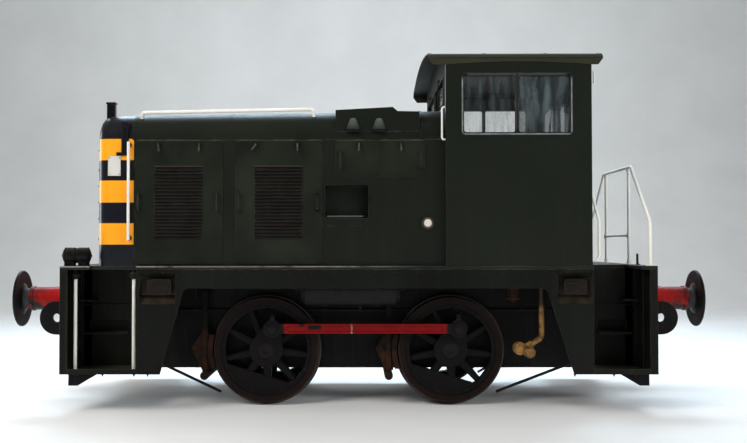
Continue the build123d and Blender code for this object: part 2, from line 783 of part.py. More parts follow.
def cab_glass():
    """Panes of the side, front and rear windows, each held in its frame or wall."""
    y = -cab_half + cab_wall / 2
    panes = []
    for light in window_lights():
        pane = side_prism(light, y, y + glass)
        panes += [pane, far(pane)]
    for wall_x, windows, heights in ((cab_front, front_windows, front_window_heights),
                                     (cab_rear - cab_wall, rear_windows, rear_window_heights)):
        x = wall_x + cab_wall / 2
        for y0, y1 in windows:
            panes.append(end_prism(rect(y0, y1, *heights, window_corner), x, x + glass))
    return panes


door_gap = 6
door_thickness = 32
door_leaf_y = (rear_door[0] + door_gap, rear_door[1] - door_gap)
door_leaf_z = (rear_door[2] + door_gap, rear_door[3] - door_gap)
door_window = (-190, 190, platform_top + 1090, platform_top + 1700)
door_x = cab_rear - cab_wall + 4
hinge_barrel = 22
hinge_pin = 12
hinge_half = 45              # half the height of a hinge
hinge_y = door_leaf_y[0]
hinge_x = cab_rear - cab_wall - hinge_barrel / 2 - 0.3
hinge_heights = (platform_top + 260, platform_top + 940, platform_top + 1620)


def cab_door():
    """The leaf in the rear wall, hinged at its near edge, with its window cut."""
    leaf = rect(*door_leaf_y, *door_leaf_z) - rect(*door_window, window_corner)
    return end_prism(leaf, door_x, door_x + door_thickness)


def rear_door_hinges():
    """Fixed halves of the hinges: a leaf on the wall, a knuckle and the pin."""
    hinges = []
    wall = cab_rear - cab_wall
    for z in hinge_heights:
        low = z - hinge_half
        leaf = block(wall - 4, wall, hinge_y - 70, hinge_y, low, z - 3)
        leaf -= block(wall - 9, wall + 1, hinge_y - 6, hinge_y + 1, low - 1, z)
        pin = bar((hinge_x, hinge_y, low), (hinge_x, hinge_y, z + hinge_half), hinge_pin)
        knuckle = bar((hinge_x, hinge_y, low), (hinge_x, hinge_y, z - 0.3), hinge_barrel)
        hinges.append(leaf + pin + knuckle)
    return hinges


def door_straps():
    """The door's halves of the hinges, bored to turn on the pins."""
    straps = []
    for z in hinge_heights:
        top = z + hinge_half - 3
        strap = block(door_x - 6, door_x, hinge_y, hinge_y + 120, z, top)
        strap += bar((hinge_x, hinge_y, z), (hinge_x, hinge_y, top), hinge_barrel)
        strap += block(hinge_x, door_x, hinge_y, hinge_y + hinge_barrel / 2, z, top)
        strap -= bar((hinge_x, hinge_y, z - 1), (hinge_x, hinge_y, top + 5), hinge_pin + 0.6)
        straps.append(strap)
    return straps


def door_handle():
    x, y, z = door_x + door_thickness, door_leaf_y[1] - 54, platform_top + 870
    return bar((x, y, z), (x + 38, y, z), 22) + bar((x + 30, y + 10, z), (x + 30, y - 110, z), 20)


def door_glass():
    middle = door_x + door_thickness / 2
    return end_prism(rect(*door_window, window_corner), middle - glass / 2, middle + glass / 2)


def control_desk():
    """The desk against the cab's front wall, with a sloping top."""
    x, z = cab_front + cab_wall, platform_top
    profile = polygon((x, z), (x, z + 1060), (x + 130, z + 1040), (x + 330, z + 930), (x + 330, z))
    return side_prism(profile, -520, 520)


def seats():
    """A plain wooden seat on a bracket at each side of the cab."""
    wall = -cab_half + cab_wall
    middle = (cab_front + cab_rear) / 2 + 52
    board = platform_top + 480
    seat = block(middle - 200, middle + 180, wall, wall + 400, board, board + 35)
    seat += block(middle - 20, middle + 20, wall, wall + 340, board - 140, board + 1)
    seat += block(middle - 20, middle + 20, wall, wall + 40, board - 340, board - 139)
    return [seat, far(seat)]


def engine_block():
    """The engine with its torque converter, as one plain mass on the frames."""
    return block(bonnet_front + 720, cab_front - 533, -480, 480, platform_top,
                 platform_top + 990)


# Buffers, couplings and fittings

def buffer_stock():
    """A rear near-side stock with its foot flange, its two bands and its bore for the ram."""
    bore = ram_radius + 1
    flange, flange_plate = 190, 24
    band, band_end = stock_radius + 5, 150
    ring, ring_start = stock_radius + 8, stock_length - 34
    outline = [(0, bore), (0, flange), (flange_plate, flange), (flange_plate, band),
               (band_end, band), (band_end, stock_radius), (ring_start, stock_radius),
               (ring_start, ring), (stock_length, ring), (stock_length, bore)]
    return turned((frame_half, -buffer_y, buffer_z), (1, 0, 0), *outline)


def buffer_head():
    """The ram and its round head, flat in the middle and falling away to a thin rim."""
    end = buffer_reach
    rim = end - 36
    flat = head_radius * 0.55
    plane = Plane(origin=(frame_half, -buffer_y, buffer_z), x_dir=(1, 0, 0), z_dir=(0, 0, 1))
    lines = Polyline((end, flat), (end, 0), (6, 0), (6, ram_radius), (rim - 26, ram_radius),
                     (rim - 4, ram_radius + 50), (rim - 4, head_radius - 8), (rim + 4, head_radius),
                     (rim + 18, head_radius))
    lines += ThreePointArc((rim + 18, head_radius), (end - 5, head_radius * 0.8), (end, flat))
    axis = Axis((frame_half, -buffer_y, buffer_z), (1, 0, 0))
    return revolve(plane * make_face(lines), axis=axis)


def tow_eye():
    """The round-ended towing eye on the rear headstock, outside its near buffer."""
    y, z, radius, reach = -half_width + 160, 860, 160, 70
    outline = rect(frame_half, frame_half + reach, z - radius, z + radius)
    outline += Pos(frame_half + reach, z) * Circle(radius)
    outline &= rect(frame_half, frame_half + reach + radius, z - radius, z + radius)
    outline -= Pos(frame_half + reach, z) * Circle(42)
    eye = side_prism(outline, y - 25, y + 25)
    return eye + block(frame_half, frame_half + 14, y - 42, y + 42, z - radius, z + radius)


def draw_hook():
    """The hook at the middle of a headstock, with its shank plate."""
    x, z = frame_half, buffer_z
    plate = block(x, x + 22, -150, 150, z - 130, z + 130)
    outline = rect(x + 10, x + 230, z - 38, z + 38) + Pos(x + 230, z - 10) * Circle(92)
    outline -= Pos(x + 226, z + 2) * Circle(38)
    outline -= rect(x + 214, x + 262, z + 2, z + 100)
    return plate + side_prism(outline, -22, 22)


def coupling_links():
    """Three oblong links that hang from the draw hook."""
    links = []
    wire, length, width = 30, 200, 150
    x = frame_half + 226
    top = buffer_z + 2 - 38 + wire + 6
    for i in range(3):
        centre = (x, 0, top - length / 2)
        across = (1, 0, 0) if i % 2 == 0 else (0, 1, 0)
        plane = Plane(origin=centre, x_dir=(0, 0, 1), z_dir=across)
        path = (plane * SlotOverall(length - wire, width - wire)).wire()
        start = Plane(origin=path @ 0, z_dir=path % 0)
        links.append(sweep(start * Circle(wire / 2), path=path))
        top += 2 * wire + 0.3 - length
    return links


def bonnet_handrails():
    """A long rail over each top shoulder, bent down at its ends, and an upright at the nose."""
    y = -bonnet_half + 105
    x0, x1 = bonnet_front + 365, cab_front - 1263
    z0, z1 = roof_line(x0) + 10, roof_line(x1) + 15
    rail = tube([(x0, y + 30, z0 - 86), (x0, y, z0), (x1, y, z1), (x1, y + 30, z1 - 86)],
                rail_tube, 40)
    rail -= bonnet_form(0)
    x, y, upright = bonnet_front + 277, -bonnet_half - 50, 28
    foot, head = platform_top + 270, platform_top + 1160
    nose_rail = bar((x, y, foot - 25), (x, y, head + 28), upright)
    for z in (foot, head):
        nose_rail += bar((x, y, z), (x, -bonnet_half, z), upright - 8)
    return [rail, nose_rail, far(rail), far(nose_rail)]


def step_handrails():
    """Two uprights in each front step well, from its tread to the sockets."""
    rails = []
    for back in step_rail_back:
        x = -frame_half + back
        rail = bar((x, step_rail_y, skirt_bottom + 14), (x, step_rail_y, step_rail_top), rail_tube)
        rails += [rail, far(rail)]
    return rails


def rear_railing():
    """The tube railing across the rear platform, with two posts and a middle bar."""
    x = frame_half - 50
    side, shoulder_z, corner, top = half_width - 75, platform_top + 421, 545, platform_top + 995
    post, bar_z = 460, platform_top + 296
    railing = tube([(x, -side, platform_top), (x, -side, shoulder_z), (x, -corner, top),
                    (x, corner, top), (x, side, shoulder_z), (x, side, platform_top)],
                   rail_tube, 90)
    for y in (-post, post):
        railing += bar((x, y, platform_top), (x, y, top), rail_tube - 3)
    return railing + bar((x, -post, bar_z), (x, post, bar_z), rail_tube - 8)


def cab_grab_rails():
    """A bowed rail on each rear corner of the cab and a slim upright on each front corner."""
    rails = []
    x, y, z = cab_rear + 77, -cab_half + 60, platform_top + 47
    bow = tube([(cab_rear - 10, y, z), (x, y, z + 5), (x, y, z + 378), (cab_rear - 10, y, z + 713)],
               28, 60)
    bow -= block(cab_rear - 80, cab_rear, y - 30, y + 30, z - 107, z + 893)
    x, y, low, high = cab_front - 32, -cab_half + 30, platform_top + 1206, platform_top + 1516
    short = tube([(cab_front, y, low), (x, y, low), (x, y, high), (cab_front, y, high)], 20, 20)
    for rail in (bow, short):
        rails += [rail, far(rail)]
    return rails


def filler_caps():
    """The fuel filler low in each bonnet side ahead of the cab."""
    x, z = cab_front - 168, platform_top + 409
    outline = [(0, 0), (0, 75), (16, 75), (16, 62), (22, 58), (22, 36), (36, 36), (40, 30), (40, 0)]
    plane = Plane(origin=(x, -bonnet_half, z), x_dir=(0, -1, 0), z_dir=(1, 0, 0))
    cap = revolve(plane * polygon(*outline), axis=Axis((x, 0, z), (0, 1, 0)))
    return [cap, far(cap)]


def platform_drums():
    """Two short drums in line on the near front corner of the platform, domed at their ends."""
    radius, length, gap = 76, 127, 6
    y, z = -half_width + 115, platform_top + 100
    outline = ((0, 0), (0, 40), (10, 62), (28, 73), (42, radius), (length - 8, radius),
               (length - 8, radius - 7), (length, radius - 7), (length, 0))
    drums = []
    left_end = -frame_half + 2
    right_end = left_end + 2 * length + gap
    for end, direction in ((left_end, 1), (right_end, -1)):
        drum = turned((end, y, z), (direction, 0, 0), *outline)
        middle = end + direction * length / 2
        drum += block(middle - 42, middle + 42, y - 52, y + 52, platform_top, platform_top + 44)
        drums.append(drum)
    return drums


def nose_lamp_post():
    """The short square post with a flat cap at the top of the nose."""
    x, y, half = bonnet_front + 44, -bonnet_half + 235, 40
    low, top = bonnet_top_front - 180, bonnet_top_front + 115
    post = block(x - half, x + half, y - 30, y + 30, low, top)
    cap = block(x - half - 6, x + half + 6, y - 38, y + 38, top, top + 18)
    return (post + cap) - bonnet_form(0)


def nose_brackets():
    """The slotted lamp bracket and the blank plate on each side of the nose."""
    face = -bonnet_half
    x = bonnet_front + 200
    z = platform_top + 1060
    bracket = block(x, x + 67, face - 14, face + 90, z, z + 322) - bonnet_form(0)
    bracket -= block(x + 14, x + 53, face - 15, face - 6, z + 16, z + 280)
    bracket += block(x - 48, x, face - 14, face, z, z + 30)
    plate = side_prism(polygon((x - 129, z - 195), (x - 8, z - 195), (x - 8, z - 6),
                               (x - 109, z - 6), (x - 129, z - 26)), face - 8, face)
    return [bracket, plate, far(bracket), far(plate)]


def export(name, pieces):
    """Write one node's solids, lifted so that the wheel flanges stand at z = 0."""
    if not isinstance(pieces, list):
        pieces = [pieces]
    solids = []
    for piece in pieces:
        solids += (Pos(0, 0, flange_depth) * piece).solids()
    export_step(Compound(children=solids), f"parts/{name}.step")
    print(name, len(solids))


def build():
    os.makedirs("parts", exist_ok=True)
    near_side = cab_side()
    near_frame = window_frames()
    near_doors = bonnet_doors()
    near_valance = side_valance()
    rear_stock = buffer_stock()
    rear_head = buffer_head()
    stocks = [rear_stock, far(rear_stock)]
    heads = [rear_head, far(rear_head)]
    eye = tow_eye()
    eyes = [eye, far(eye)]
    rear_beam = headstock()
    hook = draw_hook()
    links = coupling_links()
    front_well = other_end(step_well(-side_front, 390))
    rear_well = step_well(side_rear, 290)
    casing = bonnet_casing()
    crown = bonnet_top_rear + 1
    nodes = {
        "main_frames": main_frames(),
        "front_headstock": other_end(rear_beam),
        "rear_headstock": rear_beam,
        "footplate": footplate(),
        "front_step_wells": [front_well, far(front_well)] + rail_sockets(),
        "rear_step_wells": [rear_well, far(rear_well)],
        "near_side_valance": near_valance,
        "far_side_valance": far(near_valance),
        "sand_boxes": sand_boxes(),
        "sand_pipes": sand_pipes(),
        "guard_brackets": guard_brackets(),
        "air_tanks": air_tanks(),
        "brake_gear": brake_gear(),
        "final_drive": final_drive(),
        "feed_pipe": feed_pipe(),
        "axleboxes": axleboxes(),
        "leaf_springs": leaf_springs(),
        "front_wheels": wheel_pair(front_axle_x),
        "rear_wheels": wheel_pair(rear_axle_x),
        "front_axle": axle(front_axle_x),
        "rear_axle": axle(rear_axle_x),
        "near_coupling_rod": far(coupling_rod(crank_angle)),
        "far_coupling_rod": coupling_rod(crank_angle - quartering),
        "bonnet_nose": casing & bonnet_zone(bonnet_front - 1, nose_rear, platform_top, crown),
        "bonnet_sides": casing & bonnet_zone(nose_rear, cab_front, platform_top, shoulder_start),
        "bonnet_shell": casing & bonnet_zone(nose_rear, cab_front, shoulder_start, crown),
        "foot_holds": foot_holds(),
        "near_bonnet_doors": near_doors,
        "far_bonnet_doors": [far(door) for door in near_doors],
        "radiator_grille": radiator_grille(),
        "bonnet_top_box": top_boxes(),
        "vent_cowls": vent_cowls(),
        "cab_front_wall": cross_wall(cab_front, front_windows, front_window_heights),
        "cab_rear_wall": cross_wall(cab_rear - cab_wall, rear_windows, rear_window_heights,
                                    rear_door),
        "cab_near_side": near_side,
        "cab_far_side": far(near_side),
        "cab_roof": cab_roof(),
        "side_window_frames": [near_frame, far(near_frame)],
        "cab_glass": cab_glass(),
        "cab_rear_door": cab_door(),
        "rear_door_handle": door_handle(),
        "rear_door_hinges": rear_door_hinges(),
        "rear_door_straps": door_straps(),
        "rear_door_glass": door_glass(),
        "control_desk": control_desk(),
        "cab_seats": seats(),
        "engine_block": engine_block(),
        "buffer_stocks": stocks + [other_end(stock) for stock in stocks],
        "buffer_heads": heads + [other_end(head) for head in heads],
        "tow_eyes": eyes + [other_end(piece) for piece in eyes],
        "draw_hooks": [hook, other_end(hook)],
        "coupling_links": links + [other_end(link) for link in links],
        "bonnet_handrails": bonnet_handrails(),
        "step_handrails": step_handrails(),
        "rear_railing": rear_railing(),
        "cab_grab_rails": cab_grab_rails(),
        "filler_caps": filler_caps(),
        "platform_drums": platform_drums(),
        "nose_lamp_post": nose_lamp_post(),
        "nose_brackets": nose_brackets(),
    }
    for name, pieces in nodes.items():
        export(name, pieces)


build()
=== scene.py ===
import json
import math

import bmesh
import bpy
from mathutils import Matrix, Vector


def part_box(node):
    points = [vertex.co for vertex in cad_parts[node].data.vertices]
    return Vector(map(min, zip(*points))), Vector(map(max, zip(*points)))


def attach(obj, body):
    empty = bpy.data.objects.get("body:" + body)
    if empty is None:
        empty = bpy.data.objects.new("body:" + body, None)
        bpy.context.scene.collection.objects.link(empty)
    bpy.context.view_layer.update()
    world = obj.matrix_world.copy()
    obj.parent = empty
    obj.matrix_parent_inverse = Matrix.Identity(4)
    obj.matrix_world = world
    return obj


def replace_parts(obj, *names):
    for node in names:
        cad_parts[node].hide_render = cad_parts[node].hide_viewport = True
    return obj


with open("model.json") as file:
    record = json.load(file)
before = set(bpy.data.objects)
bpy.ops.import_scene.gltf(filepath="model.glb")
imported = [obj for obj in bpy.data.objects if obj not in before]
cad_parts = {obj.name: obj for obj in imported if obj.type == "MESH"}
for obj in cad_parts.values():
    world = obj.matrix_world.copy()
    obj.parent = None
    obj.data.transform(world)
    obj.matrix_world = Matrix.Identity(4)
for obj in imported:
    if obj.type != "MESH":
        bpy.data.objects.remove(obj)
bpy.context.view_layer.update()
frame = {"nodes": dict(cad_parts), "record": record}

# A small four-wheel diesel shunting locomotive. Metres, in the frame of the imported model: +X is
# the cab end, -Y the near side of the photograph, z = 0 the lowest points of the flanges.

nodes = frame["nodes"]

RAIL = 0.028                       # rail head above the lowest points of the wheel flanges
SIDES = (("near", -1), ("far", 1))
ENDS = (("front", -1), ("rear", 1))


def corner(node, which):
    """A node's low (0) or high (1) corner, with its height above the rail head."""
    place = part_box(node)[which]
    return Vector((place.x, place.y, place.z - RAIL))


def mirrored(low, high, sign):
    """A span on the side or end of a sign, its lower end first."""
    return sorted((low * sign, high * sign))


DOOR_FACE = corner("near_bonnet_doors", 0).y * -1
BONNET_HALF = corner("bonnet_sides", 1).y
NOSE_FRONT = corner("bonnet_nose", 0).x
NOSE_REAR = corner("bonnet_nose", 1).x
HOOD_FRONT = NOSE_FRONT - 0.040    # the modelled nose hood is this much longer than its node
RADIATOR_FRONT = HOOD_FRONT - 0.068
CAB_FRONT = corner("cab_near_side", 0).x
CAB_REAR = corner("cab_near_side", 1).x
CAB_FACE = corner("cab_near_side", 0).y * -1
SIDE_FACE = corner("near_side_valance", 0).y * -1
SIDE_FRONT = corner("near_side_valance", 0).x
SIDE_REAR = corner("near_side_valance", 1).x
DECK = corner("footplate", 1).z
HEADSTOCK = corner("rear_headstock", 1).x
SKIRT = corner("rear_headstock", 0).z
AXLES = {"front": -0.9145, "rear": 0.9145}
TREAD = 0.520
CRANK_THROW = 0.229
CRANK_ANGLE = {"near": 72.5, "far": -17.5}
ROD_OUTER = corner("far_coupling_rod", 1).y
BUFFER_Y = 0.870
BUFFER_Z = 1.035
SHOULDER_START = 2.570
BONNET_TOP = (2.830, 2.880)        # at the nose and at the cab
SIDE_WINDOW = ((0.987, 2.608), (2.038, 3.194))     # (x, z) of its lower and upper corner
PANE_JOINT = 1.5125                # x where the two panes of a side window meet
DOOR_TOP = 2.568                   # upper edge of the bonnet doors
LOUVRES = (-1.951, -1.493), (-0.992, -0.534)       # x span of each field of louvres
LOUVRE_FIELD = (1.629, 2.322)      # lower edge of the first blade and top of the last
LOUVRE_PITCH = 0.033
STRIPES = (1.566, 1.770), (1.969, 2.180), (2.377, 2.580)    # z span of each yellow band
POCKETS = (-2.075, -1.737), (1.886, 2.208)         # x span of the pocket before each sandbox


# Camera, fitted to the photograph

PHOTO_WIDTH = 747
PHOTO_FOCAL = 981.8                # pixels
PHOTO_CENTRE_X = 352.5             # pixels; the frame's middle is at 373.5
CAMERA_PLACE = (-0.002, -10.579, 1.559 + RAIL)
CAMERA_YAW = -0.32
CAMERA_PITCH = 1.375
CAMERA_ROLL = 0.05


def linked(name, data):
    """A new object in the scene."""
    made = bpy.data.objects.new(name, data)
    bpy.context.collection.objects.link(made)
    return made


def make_camera():
    data = bpy.data.cameras.new("camera")
    data.sensor_width = 36.0
    data.lens = PHOTO_FOCAL / PHOTO_WIDTH * data.sensor_width
    data.shift_x = (PHOTO_WIDTH / 2 - PHOTO_CENTRE_X) / PHOTO_WIDTH
    data.clip_end = 200.0
    camera = linked("camera", data)
    turn = Matrix.Rotation(math.radians(-CAMERA_YAW), 4, "Z")
    tilt = Matrix.Rotation(math.radians(90 + CAMERA_PITCH), 4, "X")
    roll = Matrix.Rotation(math.radians(-CAMERA_ROLL), 4, "Z")
    camera.matrix_world = Matrix.Translation(CAMERA_PLACE) @ turn @ tilt @ roll
    bpy.context.scene.camera = camera


# Studio

LIGHTS = (
    # name, place, target, size, power, colour, seen in reflections
    ("key", (-7.0, -8.0, 8.5), (0.0, 0.0, 1.2), (6.0, 5.0), 960, (1.0, 0.97, 0.93), False),
    ("fill", (8.5, -8.0, 5.0), (0.0, 0.0, 1.5), (6.0, 4.0), 580, (0.94, 0.97, 1.0), False),
    ("overhead", (0.0, 5.0, 8.8), (0.0, 0.0, 2.4), (13.0, 2.6), 1650, (0.66, 0.85, 1.0), True),
    ("nose", (-9.5, 2.4, 2.8), (-2.5, -0.6, 2.0), (2.4, 4.5), 300, (0.92, 0.96, 1.0), True),
    ("back", (0.0, 10.0, 6.0), (0.0, 0.0, 2.0), (12.0, 4.0), 300, (1.0, 1.0, 1.0), True),
    ("wall", (0.0, 11.0, 9.0), (0.0, 22.0, 4.0), (16.0, 3.0), 680, (0.90, 0.97, 1.0), False),
)


def make_light(name, place, target, size, power, colour, reflected):
    data = bpy.data.lights.new(name, "AREA")
    data.shape = "RECTANGLE"
    data.size, data.size_y = size
    data.energy = power
    data.color = colour
    light = linked(name, data)
    light.visible_glossy = reflected
    aim = Vector(target) - Vector(place)
    light.matrix_world = Matrix.Translation(place) @ aim.to_track_quat("-Z", "Y").to_matrix().to_4x4()


def make_studio():
    world = bpy.data.worlds.new("studio")
    world.use_nodes = True
    back = world.node_tree.nodes["Background"]
    back.inputs["Color"].default_value = (0.82, 0.86, 0.92, 1.0)
    back.inputs["Strength"].default_value = 0.20
    bpy.context.scene.world = world
    bpy.context.scene.view_settings.view_transform = "Standard"
    for light in LIGHTS:
        make_light(*light)
    sky = bpy.data.lights.new("sky", "SUN")
    sky.energy = 0.72
    sky.angle = math.radians(60)
    linked("sky", sky).visible_glossy = False


# Materials

TREAD_PITCH = 0.036                # of the bars on a tread plate


class Shader:
    """A node material in the making: each method adds nodes and returns an output socket."""

    def __init__(self, name, metallic=0.0, specular=0.5):
        self.material = bpy.data.materials.new(name)
        self.material.use_nodes = True
        self.tree = self.material.node_tree
        self.bsdf = self.tree.nodes["Principled BSDF"]
        self.value("Metallic", metallic)
        self.value("Specular IOR Level", specular)
        self.place = self.node("ShaderNodeTexCoord").outputs["Object"]
        self.rounded = None

    def node(self, kind, inputs=None, **settings):
        made = self.tree.nodes.new(kind)
        for key, setting in settings.items():
            setattr(made, key, setting)
        for key, source in (inputs or {}).items():
            self.join(source, made.inputs[key])
        return made

    def join(self, source, target):
        if isinstance(source, (int, float)):
            target.default_value = source
        elif isinstance(source, tuple):
            target.default_value = (*source, 1.0) if len(source) == 3 else source
        else:
            self.tree.links.new(source, target)

    def noise(self, scale, detail=4.0, roughness=0.55, stretch=None):
        place = self.place
        if stretch:
            mapping = self.node("ShaderNodeMapping", {"Vector": place})
            mapping.inputs["Scale"].default_value = stretch
            place = mapping.outputs["Vector"]
        inputs = {"Scale": scale, "Detail": detail, "Roughness": roughness, "Vector": place}
        return self.node("ShaderNodeTexNoise", inputs).outputs["Fac"]

    def ramp(self, factor, *stops):
        """A colour or number at each (position, colour), blended between."""
        made = self.node("ShaderNodeValToRGB", {"Fac": factor})
        band = made.color_ramp
        while len(band.elements) < len(stops):
            band.elements.new(0.5)
        for element, (position, colour) in zip(band.elements, stops):
            element.position = position
            grey = (colour,) * 3 if isinstance(colour, (int, float)) else colour
            element.color = (*grey, 1.0)
        return made.outputs["Color"]

    def mix(self, factor, first, second):
        inputs = {"Factor": factor, "A": first, "B": second}
        return self.node("ShaderNodeMix", inputs, data_type="RGBA").outputs["Result"]

    def math(self, operation, first, *others):
        for other in others or (0.0,):
            inputs = {0: first, 1: other}
            first = self.node("ShaderNodeMath", inputs, operation=operation).outputs["Value"]
        return first

    def times(self, *factors):
        return self.math("MULTIPLY", *factors)

    def plus(self, *terms):
        return self.math("ADD", *terms)

    def minus(self, first, second):
        return self.math("SUBTRACT", first, second)

    def length(self, u, v):
        return self.math("SQRT", self.plus(self.times(u, u), self.times(v, v)))

    def axis(self, which):
        return self.node("ShaderNodeSeparateXYZ", {"Vector": self.place}).outputs[which]

    def reach(self, which):
        """The distance from the model's middle plane, along X or Y."""
        return self.math("ABSOLUTE", self.axis(which))

    def facing(self):
        """How far the surface faces up, from -1 to 1."""
        normal = self.node("ShaderNodeNewGeometry").outputs["Normal"]
        return self.node("ShaderNodeSeparateXYZ", {"Vector": normal}).outputs["Z"]

    def span(self, value, low, high):
        """0 up to low, 1 from high."""
        inputs = {"Value": value, "From Min": low, "From Max": high}
        return self.node("ShaderNodeMapRange", inputs).outputs["Result"]

    def rise(self, low, high):
        """0 at a height low and 1 at a height high, both above the rail head."""
        return self.span(self.axis("Z"), low + RAIL, high + RAIL)

    def within(self, value, low, high, soft=0.004):
        """1 between low and high, 0 outside."""
        rise = self.span(value, low - soft, low + soft)
        return self.times(rise, self.span(value, high + soft, high - soft))

    def level(self, low, high, soft=0.001):
        """1 between two heights above the rail head."""
        return self.within(self.axis("Z"), low + RAIL, high + RAIL, soft)

    def radius(self, x, z):
        """The distance from a cross axis through (x, z)."""
        return self.length(self.minus(self.axis("X"), x), self.minus(self.axis("Z"), z))

    def edges(self, radius=0.006):
        """1 along sharp edges, 0 on the flat. The shading normal is rounded there too."""
        self.rounded = self.node("ShaderNodeBevel", {"Radius": radius}, samples=4).outputs["Normal"]
        normal = self.node("ShaderNodeNewGeometry").outputs["Normal"]
        inputs = {0: self.rounded, 1: normal}
        likeness = self.node("ShaderNodeVectorMath", inputs, operation="DOT_PRODUCT").outputs["Value"]
        return self.span(self.minus(1.0, likeness), 0.03, 0.30)

    def tread_bars(self):
        """Raised bars of a tread plate, set crosswise in turn, on what faces up."""
        u, v = (self.math("DIVIDE", self.axis(which), TREAD_PITCH) for which in "XY")
        odd = self.math("PINGPONG", self.plus(self.math("FLOOR", u), self.math("FLOOR", v)), 1.0)
        across, along = (self.minus(self.math("FRACT", cell), 0.5) for cell in (u, v))
        bars = []
        for long_way, short_way, here in ((across, along, odd), (along, across, self.minus(1.0, odd))):
            far_out, wide = (self.math("POWER", self.math("ABSOLUTE", self.math("DIVIDE", way, half)), 2.0)
                             for way, half in ((long_way, 0.47), (short_way, 0.15)))
            bars.append(self.times(self.span(self.plus(far_out, wide), 1.1, 0.6), here))
        return self.times(self.plus(*bars), self.span(self.facing(), 0.9, 0.98))

    def colour(self, source):
        self.value("Base Color", source)

    def value(self, name, source):
        self.join(source, self.bsdf.inputs[name])

    def rough(self, factor, smooth, coarse, end=0.7):
        """Roughness from smooth to coarse, as the factor goes from 0.3 to end."""
        self.value("Roughness", self.ramp(factor, (0.3, smooth), (end, coarse)))

    def bump(self, height, strength, distance):
        inputs = {"Strength": strength, "Distance": distance, "Height": height}
        if self.rounded:
            inputs["Normal"] = self.rounded
        self.value("Normal", self.node("ShaderNodeBump", inputs).outputs["Normal"])


GREEN = (0.0080, 0.0102, 0.0064)
# Painted reflection: black paint tinted blue for a bluish sheen.
BLUE_SHEEN_BLACK = (0.0040, 0.0046, 0.0090)
YELLOW = (0.93, 0.355, 0.012)
RED = (0.30, 0.0035, 0.0030)
PALE = (0.60, 0.59, 0.54)
# Painted shade: the cab's cream lining, darkened for the dim inside of the cab.
SHADED_LINING = (0.075, 0.070, 0.048)
GRIME = (0.030, 0.025, 0.019)
RUST = (0.062, 0.026, 0.013)
SOOT = (0.006, 0.005, 0.0045)
WORN_METAL = (0.20, 0.19, 0.17)


def shade(colour, factor):
    return tuple(min(1.0, part * factor) for part in colour)


def paint(name, tone, dust, dust_amount, rough, specular=0.16, wear=0.5, streaks=0.35, tread=False):
    """Old paint over a tone: clouds, run-down grime, worn edges, and dust on what faces up."""
    tree = Shader(name, specular=specular)
    tone = tone(tree) if callable(tone) else tone
    edge = tree.edges()
    broad = tree.noise(1.3, detail=5)
    spots = tree.noise(9.0, detail=8, roughness=0.7)
    fine = tree.noise(60.0, detail=3)
    tone = tree.mix(tree.span(broad, 0.35, 0.75), tone, tree.mix(0.12, tone, dust))
    runs = tree.noise(1.0, detail=6, roughness=0.7, stretch=(24.0, 24.0, 1.0))
    tone = tree.mix(tree.times(tree.ramp(runs, (0.48, 0.0), (0.78, 1.0)), streaks), tone, GRIME)
    upward = tree.span(tree.facing(), 0.2, 0.95)
    lying = tree.times(upward, dust_amount, tree.ramp(spots, (0.25, 0.4), (0.75, 1.0)))
    tone = tree.mix(lying, tone, dust)
    worn = tree.times(edge, wear, tree.ramp(spots, (0.42, 0.0), (0.62, 1.0)))
    tree.colour(tree.mix(worn, tone, WORN_METAL))
    matt = tree.times(tree.plus(spots, fine), 0.20)
    tree.value("Roughness", tree.plus(matt, rough - 0.18, tree.times(lying, 0.35)))
    height = tree.plus(tree.times(fine, 0.22), spots)
    if tread:
        height = tree.plus(height, tree.times(tree.tread_bars(), 2.6))
    tree.bump(height, 0.55 if tread else 0.20, 0.0012)
    return tree.material


def green_tone(tree):
    cloud = tree.noise(0.7, detail=3)
    return tree.mix(tree.span(cloud, 0.3, 0.7), shade(GREEN, 0.7), shade(GREEN, 1.3))


def green_paint(name, tone=green_tone, **look):
    # wear 0.6: the worn edges are bare metal and also stand as painted highlights along panel edges.
    usual = {"dust": (0.030, 0.033, 0.026), "dust_amount": 0.40, "streaks": 0.16, "rough": 0.36, "wear": 0.6}
    return paint(name, tone, **{**usual, **look})


def black_paint(name, tone=(0.0030, 0.0030, 0.0033), **look):
    return paint(name, tone, (0.032, 0.028, 0.023), 0.55, 0.52, specular=0.14, **look)


# Painted shade: the valances below the deck are the green darkened to between 0.15 and 0.5 of itself.
def valance_shaded_tone(tree):
    return tree.mix(tree.noise(1.5, detail=4), shade(GREEN, 0.15), shade(GREEN, 0.50))


def cab_tone(tree):
    """Green outside, and on the inner faces of the cab's walls a dull cream lining darkened as painted shade.
    """
    inside = tree.times(tree.within(tree.axis("X"), CAB_FRONT + 0.038, CAB_REAR - 0.0385, 0.0005),
                        tree.span(tree.reach("Y"), CAB_FACE - 0.038, CAB_FACE - 0.039))
    return tree.mix(inside, GREEN, SHADED_LINING)


def panel_tone_light_and_shade(tree):
    """Green panels with a pale band along the top that is rubbed paint and painted highlight, and dull brown
    louvre lips over gaps painted black as shade.
    """
    low, high = LOUVRE_FIELD
    spots = tree.noise(9.0, detail=7, roughness=0.7)
    cloud = tree.noise(1.7, detail=5)
    green = tree.mix(tree.span(cloud, 0.3, 0.7), shade(GREEN, 0.65), shade(GREEN, 2.0))
    # Worn paint and painted highlight: a pale brown band along the top edge of the doors.
    rubbed = tree.times(tree.rise(DOOR_TOP - 0.010, DOOR_TOP - 0.007), tree.span(spots, 0.3, 0.5), 0.8)
    green = tree.mix(rubbed, green, (0.060, 0.046, 0.036))
    blades = tree.math("DIVIDE", tree.minus(tree.axis("Z"), low + RAIL), LOUVRE_PITCH)
    lip = tree.mix(spots, (0.016, 0.014, 0.012), (0.050, 0.038, 0.030))
    # Painted shade: the gap below each lip is painted black.
    shown = tree.within(tree.math("FRACT", blades), 0.60, 0.97, 0.05)
    louvre = tree.mix(shown, (0.0010, 0.0010, 0.0010), lip)
    fields = tree.plus(*[tree.within(tree.axis("X"), *ends, 0.001) for ends in LOUVRES])
    return tree.mix(tree.times(fields, tree.level(low, high)), green, louvre)


